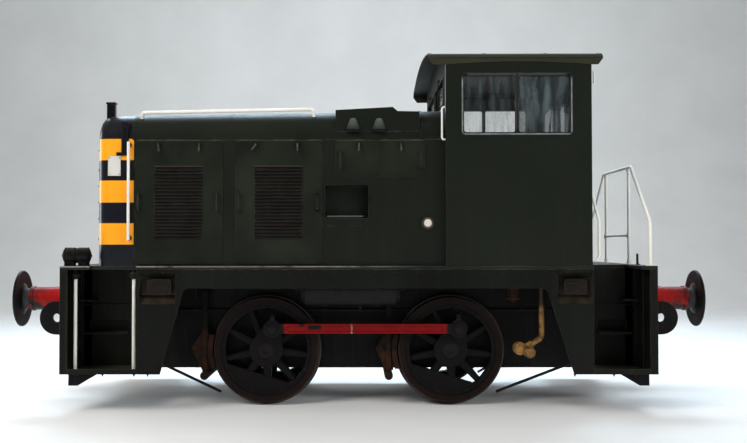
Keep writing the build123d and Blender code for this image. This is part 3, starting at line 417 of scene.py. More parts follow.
def foot_hold_tone_and_shade(tree):
    """Green inside, darkened towards the cab as painted shade, with a rubbed bar to stand on."""
    x = tree.axis("X")
    bar = tree.times(tree.within(x, -0.300, 0.046, 0.001), tree.level(1.826, 1.845),
                     tree.within(tree.reach("Y"), BONNET_HALF - 0.046, BONNET_HALF - 0.014))
    # Painted shade: the green inside falls from 1.4 to 0.3 of itself towards the cab.
    inside = tree.mix(tree.span(x, -0.02, 0.06), shade(GREEN, 1.4), shade(GREEN, 0.3))
    return tree.mix(bar, inside, (0.080, 0.080, 0.075))


def cowl_lit_and_shaded_tone(tree):
    """Painted light and shade: paler towards the crown as a painted highlight, with a painted shadow in a
    dark band round the mouth.
    """
    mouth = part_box("vent_cowls")[0].z
    z = tree.axis("Z")
    crown = tree.span(z, mouth + 0.02, mouth + 0.13)
    # Painted highlight: dark low down, pale at the crown.
    body = tree.mix(crown, (0.020, 0.024, 0.022), (0.100, 0.118, 0.108))
    # Painted shadow: a darkened band round the mouth.
    return tree.mix(tree.span(z, mouth + 0.014, mouth + 0.018), shade(BLUE_SHEEN_BLACK, 0.6), body)


def headstock_red_and_shade(tree):
    """Red on the outer face of each headstock; elsewhere the green darkened to half, as painted shade."""
    face = tree.span(tree.reach("X"), HEADSTOCK - 0.0014, HEADSTOCK - 0.0006)
    red = tree.mix(tree.noise(6.0, detail=7), shade(RED, 0.9), shade(RED, 0.45))
    # Painted shade: green at half strength away from the red face.
    return tree.mix(face, shade(GREEN, 0.5), red)


def deck_tone(tree):
    """The platform, with a worn pale edge that turns to rust near the middle."""
    x = tree.axis("X")
    rim = tree.times(tree.span(tree.reach("Y"), SIDE_FACE - 0.030, SIDE_FACE - 0.004),
                     tree.rise(DECK - 0.016, DECK - 0.004))
    spots = tree.noise(14.0, detail=6, roughness=0.7, stretch=(0.5, 1.0, 1.0))
    chipped = tree.times(rim, tree.ramp(spots, (0.34, 0.0), (0.52, 1.0)), tree.span(x, 0.60, -0.60))
    rusty = tree.times(tree.within(x, -2.00, -0.40, 0.25), 0.6)
    worn = tree.mix(rusty, (0.30, 0.29, 0.27), (0.13, 0.062, 0.038))
    return tree.mix(chipped, (0.0095, 0.0100, 0.0085), worn)


def step_tone_and_shade(tree):
    """Green sheets, darkened as painted shade in the wells, worn pale where they are stood on."""
    worn = tree.ramp(tree.noise(7.0, detail=6), (0.35, 0.0), (0.6, 1.0))
    trodden = tree.times(tree.span(tree.facing(), 0.9, 0.98), worn, 0.5)
    # Painted shade: the green at 0.6 of itself inside the recessed wells.
    return tree.mix(trodden, shade(GREEN, 0.6), (0.070, 0.066, 0.058))


def roof_tone_and_shade(tree):
    """Olive above, painted shade on what faces down, and the cab's lining, also darkened as painted shade,
    over its inside.
    """
    under = tree.span(tree.facing(), -0.25, -0.60)
    inside = tree.times(under, tree.within(tree.axis("X"), CAB_FRONT, CAB_REAR, 0.001),
                        tree.span(tree.reach("Y"), CAB_FACE, CAB_FACE - 0.002))
    tone = tree.mix(tree.noise(2.0, detail=6), (0.017, 0.017, 0.009), (0.030, 0.030, 0.017))
    # Painted shade: surfaces facing down are near black.
    return tree.mix(inside, tree.mix(under, tone, (0.004, 0.0045, 0.0045)), SHADED_LINING)


def ochre_tone(tree):
    """Ochre with dark blots, and darker along the top."""
    blots = tree.ramp(tree.noise(16.0, detail=7, roughness=0.7), (0.40, 1.0), (0.58, 0.0))
    tone = tree.mix(tree.times(blots, 0.85), (0.30, 0.150, 0.030), (0.030, 0.014, 0.005))
    return tree.mix(tree.times(tree.rise(0.93, 0.99), 0.97), tone, (0.014, 0.0065, 0.0035))


def nose_tone(tree):
    """Three yellow bands on black, under a black cap; the black is tinted blue as a painted reflection of a
    bluish sheen.
    """
    bands = tree.plus(*[tree.level(low, high, 0.003) for low, high in STRIPES])
    cloud = tree.noise(2.0, detail=5)
    return tree.mix(bands, BLUE_SHEEN_BLACK, tree.mix(cloud, shade(YELLOW, 0.88), shade(YELLOW, 1.06)))


def bracket_tone(tree):
    """The plate under the bracket is pale, the rest black tinted blue as a painted sheen."""
    return tree.mix(tree.rise(2.417, 2.418), PALE, BLUE_SHEEN_BLACK)


def stock_tone(tree):
    """Red buffer stocks, darkened with grease towards the ram and below."""
    smear = tree.noise(8.0, detail=8, roughness=0.7)
    out = tree.span(tree.reach("X"), HEADSTOCK + 0.10, HEADSTOCK + 0.42)
    low = tree.rise(BUFFER_Z, 0.93)
    grease = tree.times(tree.plus(out, low), tree.span(smear, 0.38, 0.54), 0.95)
    return tree.mix(grease, shade(RED, 1.3), (0.008, 0.006, 0.005))


def sandbox_tone(tree):
    """Dark boxes whose chute is brown with sand and rust, below a dull brown lid."""
    sand = tree.times(tree.span(tree.reach("Y"), SIDE_FACE - 0.11, SIDE_FACE - 0.09),
                      tree.span(tree.noise(6.0, detail=7), 0.30, 0.55))
    lid = tree.mix(sand, shade(GREEN, 0.3), (0.011, 0.0080, 0.0056))
    return tree.mix(tree.times(sand, tree.rise(1.090, 1.060)), lid, (0.030, 0.021, 0.013))


GREASE_BLOTS = (
    # x, z and size of each dark blot on the near rod
    (-0.555, 0.786, 0.016), (-0.470, 0.752, 0.017), (-0.431, 0.750, 0.019), (-0.390, 0.751, 0.021),
)
NEAR_ROD_SCUFF = (-0.073, -0.057)


def greasy_red(name, pins, blots=(), scuff=None):
    """Red rod between bosses that are black with grease, with blots of grease and a pale scuff along it."""
    tree = Shader(name, specular=0.16)
    smear = tree.noise(11.0, detail=7, roughness=0.68)
    greased = [(x, z, 0.105, 0.05) for x, z in pins]
    greased += [(x, z, size - 0.015, 0.07) for x, z, size in blots]
    clean = []
    for x, z, reach, ragged in greased:
        rim = tree.minus(tree.radius(x, z + RAIL), tree.times(smear, ragged))
        clean.append(tree.span(rim, reach - 0.020, reach))
    red = tree.mix(smear, shade(RED, 0.85), shade(RED, 0.35))
    red = tree.mix(tree.times(tree.edges(0.008), 0.5, smear), red, (0.07, 0.014, 0.010))
    if scuff:
        worn = tree.span(tree.noise(30.0), 0.40, 0.50)
        chalky = tree.times(tree.within(tree.axis("X"), *scuff, 0.002), worn)
        red = tree.mix(chalky, red, (0.34, 0.22, 0.15))
    tree.colour(tree.mix(tree.times(*clean), (0.0045, 0.0042, 0.0050), red))
    tree.rough(smear, 0.26, 0.52)
    tree.bump(smear, 0.25, 0.0015)
    return tree.material


def white_paint():
    """White, stained and chipped to rust."""
    tree = Shader("white_paint")
    edge = tree.edges(0.004)
    chips = tree.ramp(tree.noise(34.0, detail=6, roughness=0.7), (0.66, 0.0), (0.70, 1.0))
    stain = tree.noise(5.0, detail=5)
    tone = tree.mix(stain, (0.85, 0.83, 0.76), (0.70, 0.67, 0.59))
    tone = tree.mix(tree.times(edge, 0.25), tone, (0.35, 0.28, 0.20))
    tree.colour(tree.mix(chips, tone, (0.15, 0.085, 0.05)))
    tree.rough(stain, 0.35, 0.6, end=0.8)
    tree.bump(chips, -0.3, 0.0006)
    return tree.material


def rusty_steel(name, dark_above=None):
    """Patches of rust and soot, and darker all over above a height and ahead of the rear sand pipes."""
    tree = Shader(name, specular=0.15)
    tree.edges()
    patches = tree.noise(7.0, detail=9, roughness=0.72)
    pits = tree.noise(70.0, detail=4)
    tone = tree.ramp(patches, (0.38, SOOT), (0.58, shade(RUST, 0.55)), (0.76, RUST))
    if dark_above:
        # Darker all over above the height dark_above, ahead of x 1.1 to 1.2.
        ahead = tree.span(tree.axis("X"), 1.2, 1.1)
        upper = tree.times(tree.rise(dark_above - 0.03, dark_above + 0.03), ahead)
        tone = tree.mix(upper, tone, shade(SOOT, 0.6))
    tree.colour(tone)
    tree.rough(patches, 0.6, 0.9)
    tree.bump(tree.plus(patches, tree.times(pits, 0.4)), 0.5, 0.0025)
    return tree.material


def greasy_steel(name, middle=(0.014, 0.012, 0.011), light=(0.040, 0.032, 0.025)):
    tree = Shader(name, metallic=0.3, specular=0.2)
    edge = tree.edges()
    smear = tree.noise(4.0, detail=7, roughness=0.68)
    fine = tree.noise(45.0, detail=3)
    tone = tree.ramp(smear, (0.3, (0.0045, 0.0040, 0.0040)), (0.6, middle), (0.8, light))
    tree.colour(tree.mix(tree.times(edge, 0.3, smear), tone, WORN_METAL))
    tree.rough(smear, 0.34, 0.66)
    tree.bump(tree.plus(smear, tree.times(fine, 0.3)), 0.3, 0.0015)
    return tree.material


def frame_metal():
    """Window frames: bright above, dull below, with a bright border and a dark channel between the panes."""
    tree = Shader("frame_metal", metallic=0.4, specular=0.3)
    edge = tree.edges(0.003)
    grain = tree.noise(14.0, detail=6)
    bright = tree.ramp(grain, (0.3, (0.16, 0.165, 0.165)), (0.7, (0.30, 0.31, 0.31)))
    x = tree.axis("X")
    (x0, z0), (x1, _) = SIDE_WINDOW
    bottom = tree.minus(tree.axis("Z"), z0 + RAIL)
    inward = tree.math("MINIMUM", tree.minus(x, x0), tree.minus(x1, x), bottom)
    dulled = tree.times(tree.span(inward, 0.015, 0.010), tree.rise(3.170, 3.120))
    channel = tree.within(x, PANE_JOINT - 0.006, PANE_JOINT + 0.006, 0.0005)
    bar = tree.times(tree.span(inward, 0.050, 0.060), tree.minus(1.0, channel))
    dull = tree.mix(bar, (0.010, 0.011, 0.012), (0.058, 0.060, 0.056))
    tone = tree.mix(dulled, dull, bright)
    tree.colour(tree.mix(tree.times(edge, dulled, 0.4), tone, (0.45, 0.45, 0.44)))
    tree.rough(grain, 0.34, 0.55)
    tree.bump(grain, 0.08, 0.0005)
    return tree.material


def filler_finish():
    """Tarnished ring round a small white cap."""
    tree = Shader("filler_finish", metallic=0.2)
    edge = tree.edges(0.003)
    grain = tree.noise(22.0, detail=7, roughness=0.7)
    brown = tree.ramp(grain, (0.35, (0.060, 0.028, 0.012)), (0.65, (0.22, 0.12, 0.045)))
    cap = tree.mix(grain, (0.86, 0.85, 0.80), (0.55, 0.52, 0.45))
    low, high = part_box("filler_caps")
    from_middle = tree.radius((low.x + high.x) / 2, (low.z + high.z) / 2)
    ring = tree.mix(tree.span(from_middle, 0.050, 0.054), brown, (0.007, 0.006, 0.005))
    tone = tree.mix(tree.span(from_middle, 0.0355, 0.0375), cap, ring)
    tree.colour(tree.mix(tree.times(edge, 0.35), tone, (0.05, 0.04, 0.03)))
    tree.rough(grain, 0.38, 0.6)
    tree.bump(grain, 0.2, 0.0008)
    return tree.material


def window_glass():
    """Dirty glass, sootier in the rear pane of the near side."""
    tree = Shader("window_glass")
    film = tree.noise(2.2, detail=6, roughness=0.65, stretch=(6.0, 6.0, 1.2))
    speck = tree.noise(60.0, detail=3)
    dirt = tree.plus(film, tree.times(tree.minus(speck, 0.5), 0.25))
    sooty = tree.times(tree.span(tree.axis("X"), 1.505, 1.515), tree.span(tree.axis("Y"), -1.20, -1.23))
    tree.colour(tree.ramp(dirt, (0.42, (0.026, 0.032, 0.034)), (0.75, (0.145, 0.185, 0.185))))
    tree.rough(dirt, 0.04, 0.20, end=0.8)
    clear = tree.ramp(dirt, (0.42, 0.07), (0.78, 0.24))
    tree.value("Alpha", tree.plus(clear, tree.times(sooty, 0.38)))
    tree.bump(film, 0.05, 0.0008)
    return tree.material


def wheel_black(name, axle_x):
    """Black wheel with a dull brown tyre edge and a worn tread."""
    tree = Shader(name, specular=0.14)
    edge = tree.edges(0.008)
    patches = tree.noise(8.0, detail=8, roughness=0.7)
    fine = tree.noise(60.0, detail=3)
    reach = tree.radius(axle_x, TREAD + RAIL)
    black = tree.ramp(patches, (0.3, (0.0026, 0.0024, 0.0026)), (0.75, (0.0085, 0.0065, 0.0060)))
    rust = tree.ramp(patches, (0.3, (0.0045, 0.0026, 0.0022)), (0.7, (0.015, 0.0065, 0.0045)))
    tone = tree.mix(tree.times(tree.span(reach, 0.452, 0.462), 0.85), black, rust)
    lip = tree.times(tree.span(reach, 0.500, 0.515), tree.span(patches, 0.35, 0.6), 0.45)
    tone = tree.mix(lip, tone, (0.050, 0.022, 0.012))
    tone = tree.mix(tree.times(edge, 0.3, patches), tone, (0.060, 0.050, 0.040))
    tread = tree.span(reach, 0.5155, 0.5165)
    tree.colour(tree.mix(tread, tone, (0.090, 0.078, 0.070)))
    tree.value("Metallic", tree.times(tread, 0.85))
    tree.rough(patches, 0.40, 0.72)
    tree.bump(tree.plus(patches, tree.times(fine, 0.3)), 0.35, 0.0018)
    return tree.material


def buffer_finish():
    """Black rim, a dull grey ram, and a face rubbed to bare steel in its middle."""
    tree = Shader("buffer_finish", metallic=0.25, specular=0.2)
    edge = tree.edges(0.006)
    smear = tree.noise(6.0, detail=8, roughness=0.7)
    out = tree.reach("X")
    reach = tree.length(tree.minus(tree.reach("Y"), BUFFER_Y), tree.minus(tree.axis("Z"), BUFFER_Z + RAIL))
    black = tree.ramp(smear, (0.3, (0.004, 0.004, 0.0045)), (0.75, (0.016, 0.012, 0.010)))
    ram = tree.times(tree.span(out, 3.290, 3.280), tree.span(reach, 0.125, 0.115))
    tone = tree.mix(ram, black, tree.mix(smear, (0.085, 0.085, 0.095), (0.035, 0.032, 0.032)))
    rubbed = tree.times(tree.span(out, 3.334, 3.342), tree.span(reach, 0.17, 0.10), smear, 1.3)
    tone = tree.mix(rubbed, tone, (0.19, 0.175, 0.155))
    tree.colour(tree.mix(tree.times(edge, 0.4, smear), tone, WORN_METAL))
    tree.rough(smear, 0.32, 0.62)
    tree.bump(smear, 0.3, 0.0015)
    return tree.material


def plain(name, noise, colours, rough, bump=None, edge=None, worn=None, **surface):
    """A material of one grain, which its colours, roughness and bumps follow."""
    tree = Shader(name, **surface)
    rim = tree.edges(edge) if edge else None
    grain = tree.noise(**noise)
    tone = tree.ramp(grain, *colours)
    if worn:
        share, bare = worn
        tone = tree.mix(tree.times(rim, share), tone, bare)
    tree.colour(tone)
    if isinstance(rough, tuple):
        tree.rough(grain, *rough)
    else:
        tree.value("Roughness", rough)
    if bump:
        tree.bump(grain, *bump)
    return tree.material


def make_floor():
    """A pale floor that sweeps up into a pale wall far behind."""
    bm = bmesh.new()
    foot, radius, top = 14.0, 8.0, 40.0
    profile = [(-40.0, 0.0), (foot, 0.0)]
    for i in range(1, 13):
        turn = math.radians(90 / 12 * i)
        profile.append((foot + radius * math.sin(turn), radius * (1 - math.cos(turn))))
    profile.append((foot + radius, top))
    rows = []
    for y, z in profile:
        rows.append([bm.verts.new((x, y, z - 0.0005)) for x in (-60.0, 60.0)])
    for a, b in zip(rows, rows[1:]):
        bm.faces.new((a[0], a[1], b[1], b[0])).smooth = True
    mesh = bpy.data.meshes.new("floor")
    bm.to_mesh(mesh)
    floor = linked("floor", mesh)
    greys = (0.3, (0.76, 0.76, 0.75)), (0.7, (0.82, 0.82, 0.81))
    mesh.materials.append(plain("floor_grey", {"scale": 0.6, "detail": 3}, greys, 0.75))


MATERIALS = {
    "dark_green_paint": green_paint("dark_green_paint"),
    "black_paint": black_paint("black_paint"),
    "roof_paint": paint("roof_paint", roof_tone_and_shade, (0.060, 0.057, 0.040), 0.5, 0.62, specular=0.3, wear=0.3),
    "red_paint": paint("red_paint", RED, (0.10, 0.035, 0.028), 0.30, 0.40, specular=0.25, wear=0.4,
                       streaks=0.25),
    "white_paint": white_paint(),
    "grey_paint": paint("grey_paint", (0.0040, 0.0042, 0.0044), (0.022, 0.021, 0.019), 0.6, 0.45),
    "ochre_paint": paint("ochre_paint", ochre_tone, (0.05, 0.030, 0.018), 0.2, 0.60, specular=0.5, wear=0.2,
                         streaks=0.4),
    "rusty_steel": rusty_steel("rusty_steel"),
    "greasy_steel": greasy_steel("greasy_steel"),
    "bright_steel": plain("bright_steel", {"scale": 30.0, "detail": 5, "stretch": (1.0, 1.0, 12.0)},
                          ((0.3, (0.30, 0.28, 0.26)), (0.7, (0.50, 0.49, 0.47))),
                          (0.28, 0.45), (0.1, 0.0004), edge=0.002, metallic=0.9),
    "frame_metal": frame_metal(),
    "brass": plain("brass", {"scale": 16.0, "detail": 7, "roughness": 0.7},
                   ((0.35, (0.10, 0.045, 0.018)), (0.65, (0.34, 0.19, 0.06))),
                   (0.35, 0.65), (0.25, 0.001), edge=0.003, metallic=0.6),
    "window_glass": window_glass(),
    "seat_wood": plain("seat_wood", {"scale": 5.0, "detail": 6, "stretch": (1.0, 14.0, 14.0)},
                       ((0.3, (0.10, 0.05, 0.022)), (0.7, (0.22, 0.12, 0.055))),
                       0.45, (0.15, 0.0006), edge=0.004),
    # The lining colour carries painted shade for the dim inside of the cab.
    "cab_lining": green_paint("cab_lining", SHADED_LINING, dust=(0.12, 0.10, 0.07)),
}
RUBBER = plain("black_rubber", {"scale": 25.0, "detail": 5},
               ((0.35, (0.010, 0.010, 0.010)), (0.75, (0.045, 0.042, 0.038))),
               0.75, (0.2, 0.0006), specular=0.25)
DIAL = plain("dial_white", {"scale": 30.0, "detail": 5},
             ((0.3, (0.70, 0.68, 0.58)), (0.8, (0.50, 0.46, 0.36))), 0.35)
STEEL = plain("dull_steel", {"scale": 24.0, "detail": 6},
              ((0.3, (0.030, 0.031, 0.030)), (0.7, (0.110, 0.112, 0.105))),
              (0.36, 0.6), (0.1, 0.0005), edge=0.002, worn=(0.3, WORN_METAL), metallic=0.4, specular=0.2)
CORE = plain("radiator_core", {"scale": 20.0, "detail": 3, "stretch": (1.0, 10.0, 1.0)},
             ((0.3, (0.008, 0.008, 0.008)), (0.7, (0.030, 0.028, 0.025))),
             0.6, (0.5, 0.002), edge=0.004, worn=(0.5, (0.10, 0.095, 0.085)), specular=0.3)
GRIP = greasy_steel("grip_steel", (0.034, 0.034, 0.030), (0.060, 0.058, 0.050))
NOSE = paint("nose_paint", nose_tone, (0.06, 0.050, 0.036), 0.25, 0.30, specular=0.30, wear=0.35,
             streaks=0.16)


def crank_pins(side):
    """The (x, z) of the front and rear crank pins at rest."""
    turn = math.radians(CRANK_ANGLE[side])
    dx, dz = CRANK_THROW * math.cos(turn), CRANK_THROW * math.sin(turn)
    return [(AXLES[end] + dx, TREAD + dz) for end, _ in ENDS]


def dress_nodes():
    """Every carried-over CAD node gets the material of its slot, or one of its own."""
    cab = green_paint("cab_paint", cab_tone)
    headstock = black_paint("headstock_paint_and_shade", headstock_red_and_shade)
    wells = paint("step_paint_and_shade", step_tone_and_shade, (0.060, 0.050, 0.038), 0.6, 0.50, tread=True)
    valance = green_paint("valance_shaded_paint", valance_shaded_tone)
    panels = green_paint("panel_paint_light_and_shade", panel_tone_light_and_shade, dust=(0.016, 0.018, 0.014))
    own = {
        "front_wheels": wheel_black("front_wheel_black", AXLES["front"]),
        "rear_wheels": wheel_black("rear_wheel_black", AXLES["rear"]),
        "bonnet_nose": NOSE,
        "near_bonnet_doors": panels, "far_bonnet_doors": panels,
        "near_side_valance": valance, "far_side_valance": valance,
        "foot_holds": green_paint("foot_hold_paint_and_shade", foot_hold_tone_and_shade, dust_amount=0.1),
        "vent_cowls": green_paint("cowl_lit_and_shaded_paint", cowl_lit_and_shaded_tone),
        "nose_brackets": black_paint("bracket_paint", bracket_tone, wear=0.3),
        "radiator_grille": CORE,
        "cab_near_side": cab, "cab_far_side": cab, "cab_rear_wall": cab, "cab_rear_door": cab,
        "cab_front_wall": green_paint("cab_front_paint", cab_tone, rough=0.85),
        "front_headstock": headstock, "rear_headstock": headstock,
        "footplate": paint("deck_paint", deck_tone, (0.085, 0.078, 0.066), 0.55, 0.50, wear=0.9, tread=True),
        "front_step_wells": wells, "rear_step_wells": wells,
        "sand_boxes": green_paint("sandbox_paint", sandbox_tone, dust=(0.014, 0.012, 0.009)),
        "brake_gear": rusty_steel("brake_gear_rust", dark_above=0.730),
        "buffer_heads": buffer_finish(),
        "buffer_stocks": paint("stock_paint", stock_tone, (0.10, 0.035, 0.028), 0.3, 0.40, specular=0.2,
                               wear=0.4),
        "filler_caps": filler_finish(),
        "near_coupling_rod": greasy_red("near_rod_red", crank_pins("near"), GREASE_BLOTS, NEAR_ROD_SCUFF),
        "far_coupling_rod": greasy_red("far_rod_red", crank_pins("far")),
    }
    slots = {part["node"]: part["material_slot"] for part in frame["record"]["subparts"]}
    for name, node in nodes.items():
        material = own.get(name) or MATERIALS[slots[name]]
        node.data.materials.clear()
        node.data.materials.append(material)
        for polygon in node.data.polygons:
            polygon.material_index = 0


# Meshes

def rounded(points, bend, closed=False):
    """The points of a path with each corner turned into an arc of radius bend."""
    points = [Vector(point) for point in points]
    if not bend:
        return points
    path = []
    count = len(points)
    for i, point in enumerate(points):
        if not closed and i in (0, count - 1):
            path.append(point)
            continue
        back = (points[i - 1] - point).normalized()
        ahead = (points[(i + 1) % count] - point).normalized()
        half = back.angle(ahead) / 2
        centre = point + (back + ahead).normalized() * bend / math.sin(half)
        start = point + back * bend / math.tan(half) - centre
        end = point + ahead * bend / math.tan(half) - centre
        for k in range(7):
            path.append(centre + start.slerp(end, k / 6).normalized() * bend)
    return path


def ring_rect(low, high, inset):
    """The corners of a rectangle drawn in by an inset."""
    x0, z0, x1, z1 = low[0] + inset, low[1] + inset, high[0] - inset, high[1] - inset
    return (x0, z0), (x1, z0), (x1, z1), (x0, z1)


def steps(start, end, pitch):
    """Evenly spaced places from start to end, about a pitch apart."""
    count = max(1, round(abs(end - start) / pitch))
    return [start + (end - start) * i / count for i in range(count + 1)]


def round_ring(middle, first, second, radius, sides, turn=0.0):
    """A ring of points round a middle, in the plane of two unit vectors."""
    angles = [2 * math.pi * i / sides + turn for i in range(sides)]
    return [middle + (first * math.cos(angle) + second * math.sin(angle)) * radius for angle in angles]


class Piece:
    """One mesh in the making. Metres, with heights above the rail head."""

    def __init__(self):
        self.bm = bmesh.new()

    def skin(self, rings, closed=True, capped=True):
        """Faces over a row of rings that have as many points each."""
        rows = [[self.bm.verts.new(point) for point in ring] for ring in rings]
        count = len(rows[0])
        for a, b in zip(rows, rows[1:]):
            for i in range(count if closed else count - 1):
                j = (i + 1) % count
                self.bm.faces.new((a[i], a[j], b[j], b[i]))
        if capped:
            self.bm.faces.new(rows[0][::-1])
            self.bm.faces.new(rows[-1])

    def block(self, x, y, z):
        """A box between pairs of (low, high)."""
        self.skin([[(u, w, v) for u, v in ring_rect((x[0], z[0]), (x[1], z[1]), 0.0)] for w in y])

    def lathe(self, place, direction, outline, sides=14, turn=0.0):
        """Turned about a line from (distance along, radius) points."""
        place, axis = Vector(place), Vector(direction).normalized()
        across = axis.orthogonal().normalized()
        other = axis.cross(across)
        self.skin([round_ring(place + axis * along, across, other, radius, sides, turn)
                   for along, radius in outline])

    def tube(self, points, radius, bend=0.0, sides=10, closed=False):
        """A round bar along a path."""
        path = rounded(points, bend, closed)
        count = len(path)
        rings = []
        normal = None
        for i, point in enumerate(path):
            before = path[i - 1] if closed or i else point
            after = path[(i + 1) % count] if closed or i < count - 1 else point
            run = (after - before).normalized()
            normal = run.orthogonal() if normal is None else normal - run * normal.dot(run)
            normal.normalize()
            rings.append(round_ring(point, normal, run.cross(normal), radius, sides))
        if closed:
            rings.append(rings[0])
        self.skin(rings, capped=not closed)

    def bead(self, axis, at, low, high, inset, radius, bend, sides=8):
        """A bead round a rectangle, in the plane across an axis."""
        corners = ring_rect(low, high, inset)
        path = [(at, u, v) if axis == "x" else (u, at, v) for u, v in corners]
        self.tube(path, radius, bend, sides, closed=True)

    def strap(self, x0, x1, outline, low, high):
        """A strap across the model that follows outline(x, stand), from a stand low to high."""
        rows = []
        for x, stand in ((x0, low), (x0, high), (x1, high), (x1, low), (x0, low)):
            rows.append([(x, y, z) for y, z in outline(x, stand)])
        self.skin(rows, closed=False, capped=False)

    def bolt(self, place, direction, size, turn=0.0):
        """A hexagon head on a washer; size is the head's radius."""
        self.lathe(place, direction, ((-0.001, size * 1.35), (size * 0.22, size * 1.35)))
        self.lathe(place, direction, ((size * 0.2, size), (size * 0.85, size), (size, size * 0.84)),
                   sides=6, turn=turn)

    def rivet(self, place, direction, size):
        shares = ((0.35, 0.94), (0.65, 0.66), (0.8, 0.2))
        dome = [(size * along, size * radius) for along, radius in shares]
        self.lathe(place, direction, [(-0.001, size)] + dome, sides=8)

    def finish(self, name, slot, body="root", material=None, bevel=0.0):
        bmesh.ops.remove_doubles(self.bm, verts=self.bm.verts, dist=1e-6)
        bmesh.ops.recalc_face_normals(self.bm, faces=self.bm.faces)
        bmesh.ops.translate(self.bm, verts=self.bm.verts, vec=(0, 0, RAIL))
        for face in self.bm.faces:
            face.smooth = True
        mesh = bpy.data.meshes.new(name)
        self.bm.to_mesh(mesh)
        self.bm.free()
        mesh.set_sharp_from_angle(angle=math.radians(32))
        mesh.materials.append(material or MATERIALS[slot])
        piece = linked(name, mesh)
        if bevel:
            rounding = piece.modifiers.new("rounding", "BEVEL")
            rounding.width = bevel
            rounding.segments = 2
            rounding.limit_method = "ANGLE"
        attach(piece, body)
        return piece


# Bonnet

GRIPS = (
    # x and z of the lower foot of each grip
    (-2.10, 1.895), (-1.35, 1.895), (-1.14, 1.895), (-0.39, 1.895), (-0.17, 2.295), (0.60, 2.295),
)
CATCH_LEVEL = 2.520
CATCHES = (
    # x and lean in degrees of each T-handled catch
    (-1.91, 4), (-1.52, -3), (-0.98, -36), (-0.58, 2), (0.01, -4), (0.41, 3),
)
DOORS = (
    # x of both edges, z of the lower edge
    (-2.137, -1.297, 1.379), (-1.178, -0.343, 1.379), (-0.220, 0.640, 2.200),
)


def bonnet_grips(side, sign):
    face = DOOR_FACE * sign
    grips = Piece()
    for x, z in GRIPS:
        out, top = face + 0.036 * sign, z + 0.150
        grips.tube(((x, face, z), (x, out, z), (x, out, top), (x, face, top)), 0.0105, 0.016)
        for foot in (z, top):
            grips.lathe((x, face - 0.001 * sign, foot), (0, sign, 0),
                        ((0, 0.016), (0.005, 0.015), (0.011, 0.011)))
    grips.finish(f"{side}_bonnet_grips", "greasy_steel", material=GRIP)


def bonnet_catches(side, sign):
    """The T-handled catches of the lift-off panels, and one round knob."""
    face = DOOR_FACE * sign
    catches, stems = Piece(), Piece()
    for x, lean in CATCHES:
        catches.lathe((x, face - 0.001 * sign, CATCH_LEVEL), (0, sign, 0),
                      ((0, 0.021), (0.006, 0.020), (0.009, 0.012), (0.024, 0.010)))
        turn = math.radians(lean)
        down = Vector((math.sin(turn), 0, -math.cos(turn)))
        foot = Vector((x, face + 0.019 * sign, CATCH_LEVEL)) + down * 0.055
        head = Vector((x, face + 0.022 * sign, CATCH_LEVEL)) - down * 0.012
        stems.tube((foot, head), 0.0085, sides=8)
        stems.lathe(foot, down, ((-0.004, 0.011), (0.006, 0.011)), sides=8)
    knob = ((0, 0.016), (0.007, 0.015), (0.010, 0.008))
    catches.lathe((0.17, BONNET_HALF * sign, 2.24), (0, sign, 0), knob)
    catches.finish(f"{side}_bonnet_catches", "black_paint")
    stems.finish(f"{side}_catch_stems", "bright_steel", material=STEEL)


def panel_screws(side, sign):
    """Screws round each lift-off panel and along the casing's seams."""
    screws = Piece()
    size, inset = 0.0075, 0.024
    places = []
    for x0, x1, z0 in DOORS:
        rows, columns = (z0 + inset, DOOR_TOP - inset), (x0 + inset, x1 - inset)
        places += [(x, z) for x in steps(*columns, 0.20) for z in rows]
        places += [(x, z) for z in steps(*rows, 0.24)[1:-1] for x in columns]
    for x, z in places:
        screws.rivet((x, DOOR_FACE * sign, z), (0, sign, 0), size)
    for z in steps(1.42, 2.54, 0.14):
        screws.rivet((NOSE_REAR + 0.006, BONNET_HALF * sign, z), (0, sign, 0), 0.005)
        screws.rivet((CAB_FRONT - 0.030, BONNET_HALF * sign, z), (0, sign, 0), size)
    screws.finish(f"{side}_panel_screws", "dark_green_paint")


def foot_hold_beads(side, sign):
    """Beads round the foot hold and the two slots below it."""
    borders = Piece()
    for x in (-0.24, -0.02):
        borders.bead("y", (BONNET_HALF + 0.001) * sign, (x - 0.055, 1.734), (x + 0.055, 1.748),
                     0.002, 0.003, 0.004, sides=6)
    borders.bead("y", (BONNET_HALF + 0.002) * sign, (-0.325, 1.807), (0.106, 2.138),
                 0.003, 0.005, 0.024, sides=6)
    borders.finish(f"{side}_foot_hold_beads", "dark_green_paint")


def top_bend(x):
    """The radius of the bonnet's shoulders, which is also the rise of its top."""
    share = (x - NOSE_FRONT) / (CAB_FRONT - NOSE_FRONT)
    return BONNET_TOP[0] + share * (BONNET_TOP[1] - BONNET_TOP[0]) - SHOULDER_START


def bonnet_section(x, stand):
    """The bonnet's outline over its top, as (y, z) from the near shoulder to the far one."""
    bend = top_bend(x)
    reach = bend + stand
    quarter = []
    for i in range(13):
        turn = math.radians(90 / 12 * i)
        quarter.append((BONNET_HALF - bend + reach * math.cos(turn), SHOULDER_START + reach * math.sin(turn)))
    near = [(-y, z) for y, z in quarter]
    return near + quarter[::-1]


def bonnet_straps():
    """Cover strips over the joints of the casing, and the flashing against the cab."""
    straps = Piece()
    for x0, x1, stand in ((NOSE_REAR - 0.014, NOSE_REAR + 0.022, 0.004), (0.600, 0.622, 0.007),
                          (CAB_FRONT - 0.022, CAB_FRONT, 0.010), (-1.245, -1.215, 0.003)):
        straps.strap(x0, x1, bonnet_section, -0.002, stand)
    straps.finish("bonnet_straps", "dark_green_paint")
    rivets = Piece()
    for x, stand in ((NOSE_REAR + 0.004, 0.004), (CAB_FRONT - 0.011, 0.010)):
        for y in steps(-0.86, 0.86, 0.12):
            rivets.rivet((x, y, SHOULDER_START + top_bend(x) + stand), (0, 0, 1), 0.006)
    rivets.finish("bonnet_top_rivets", "dark_green_paint")


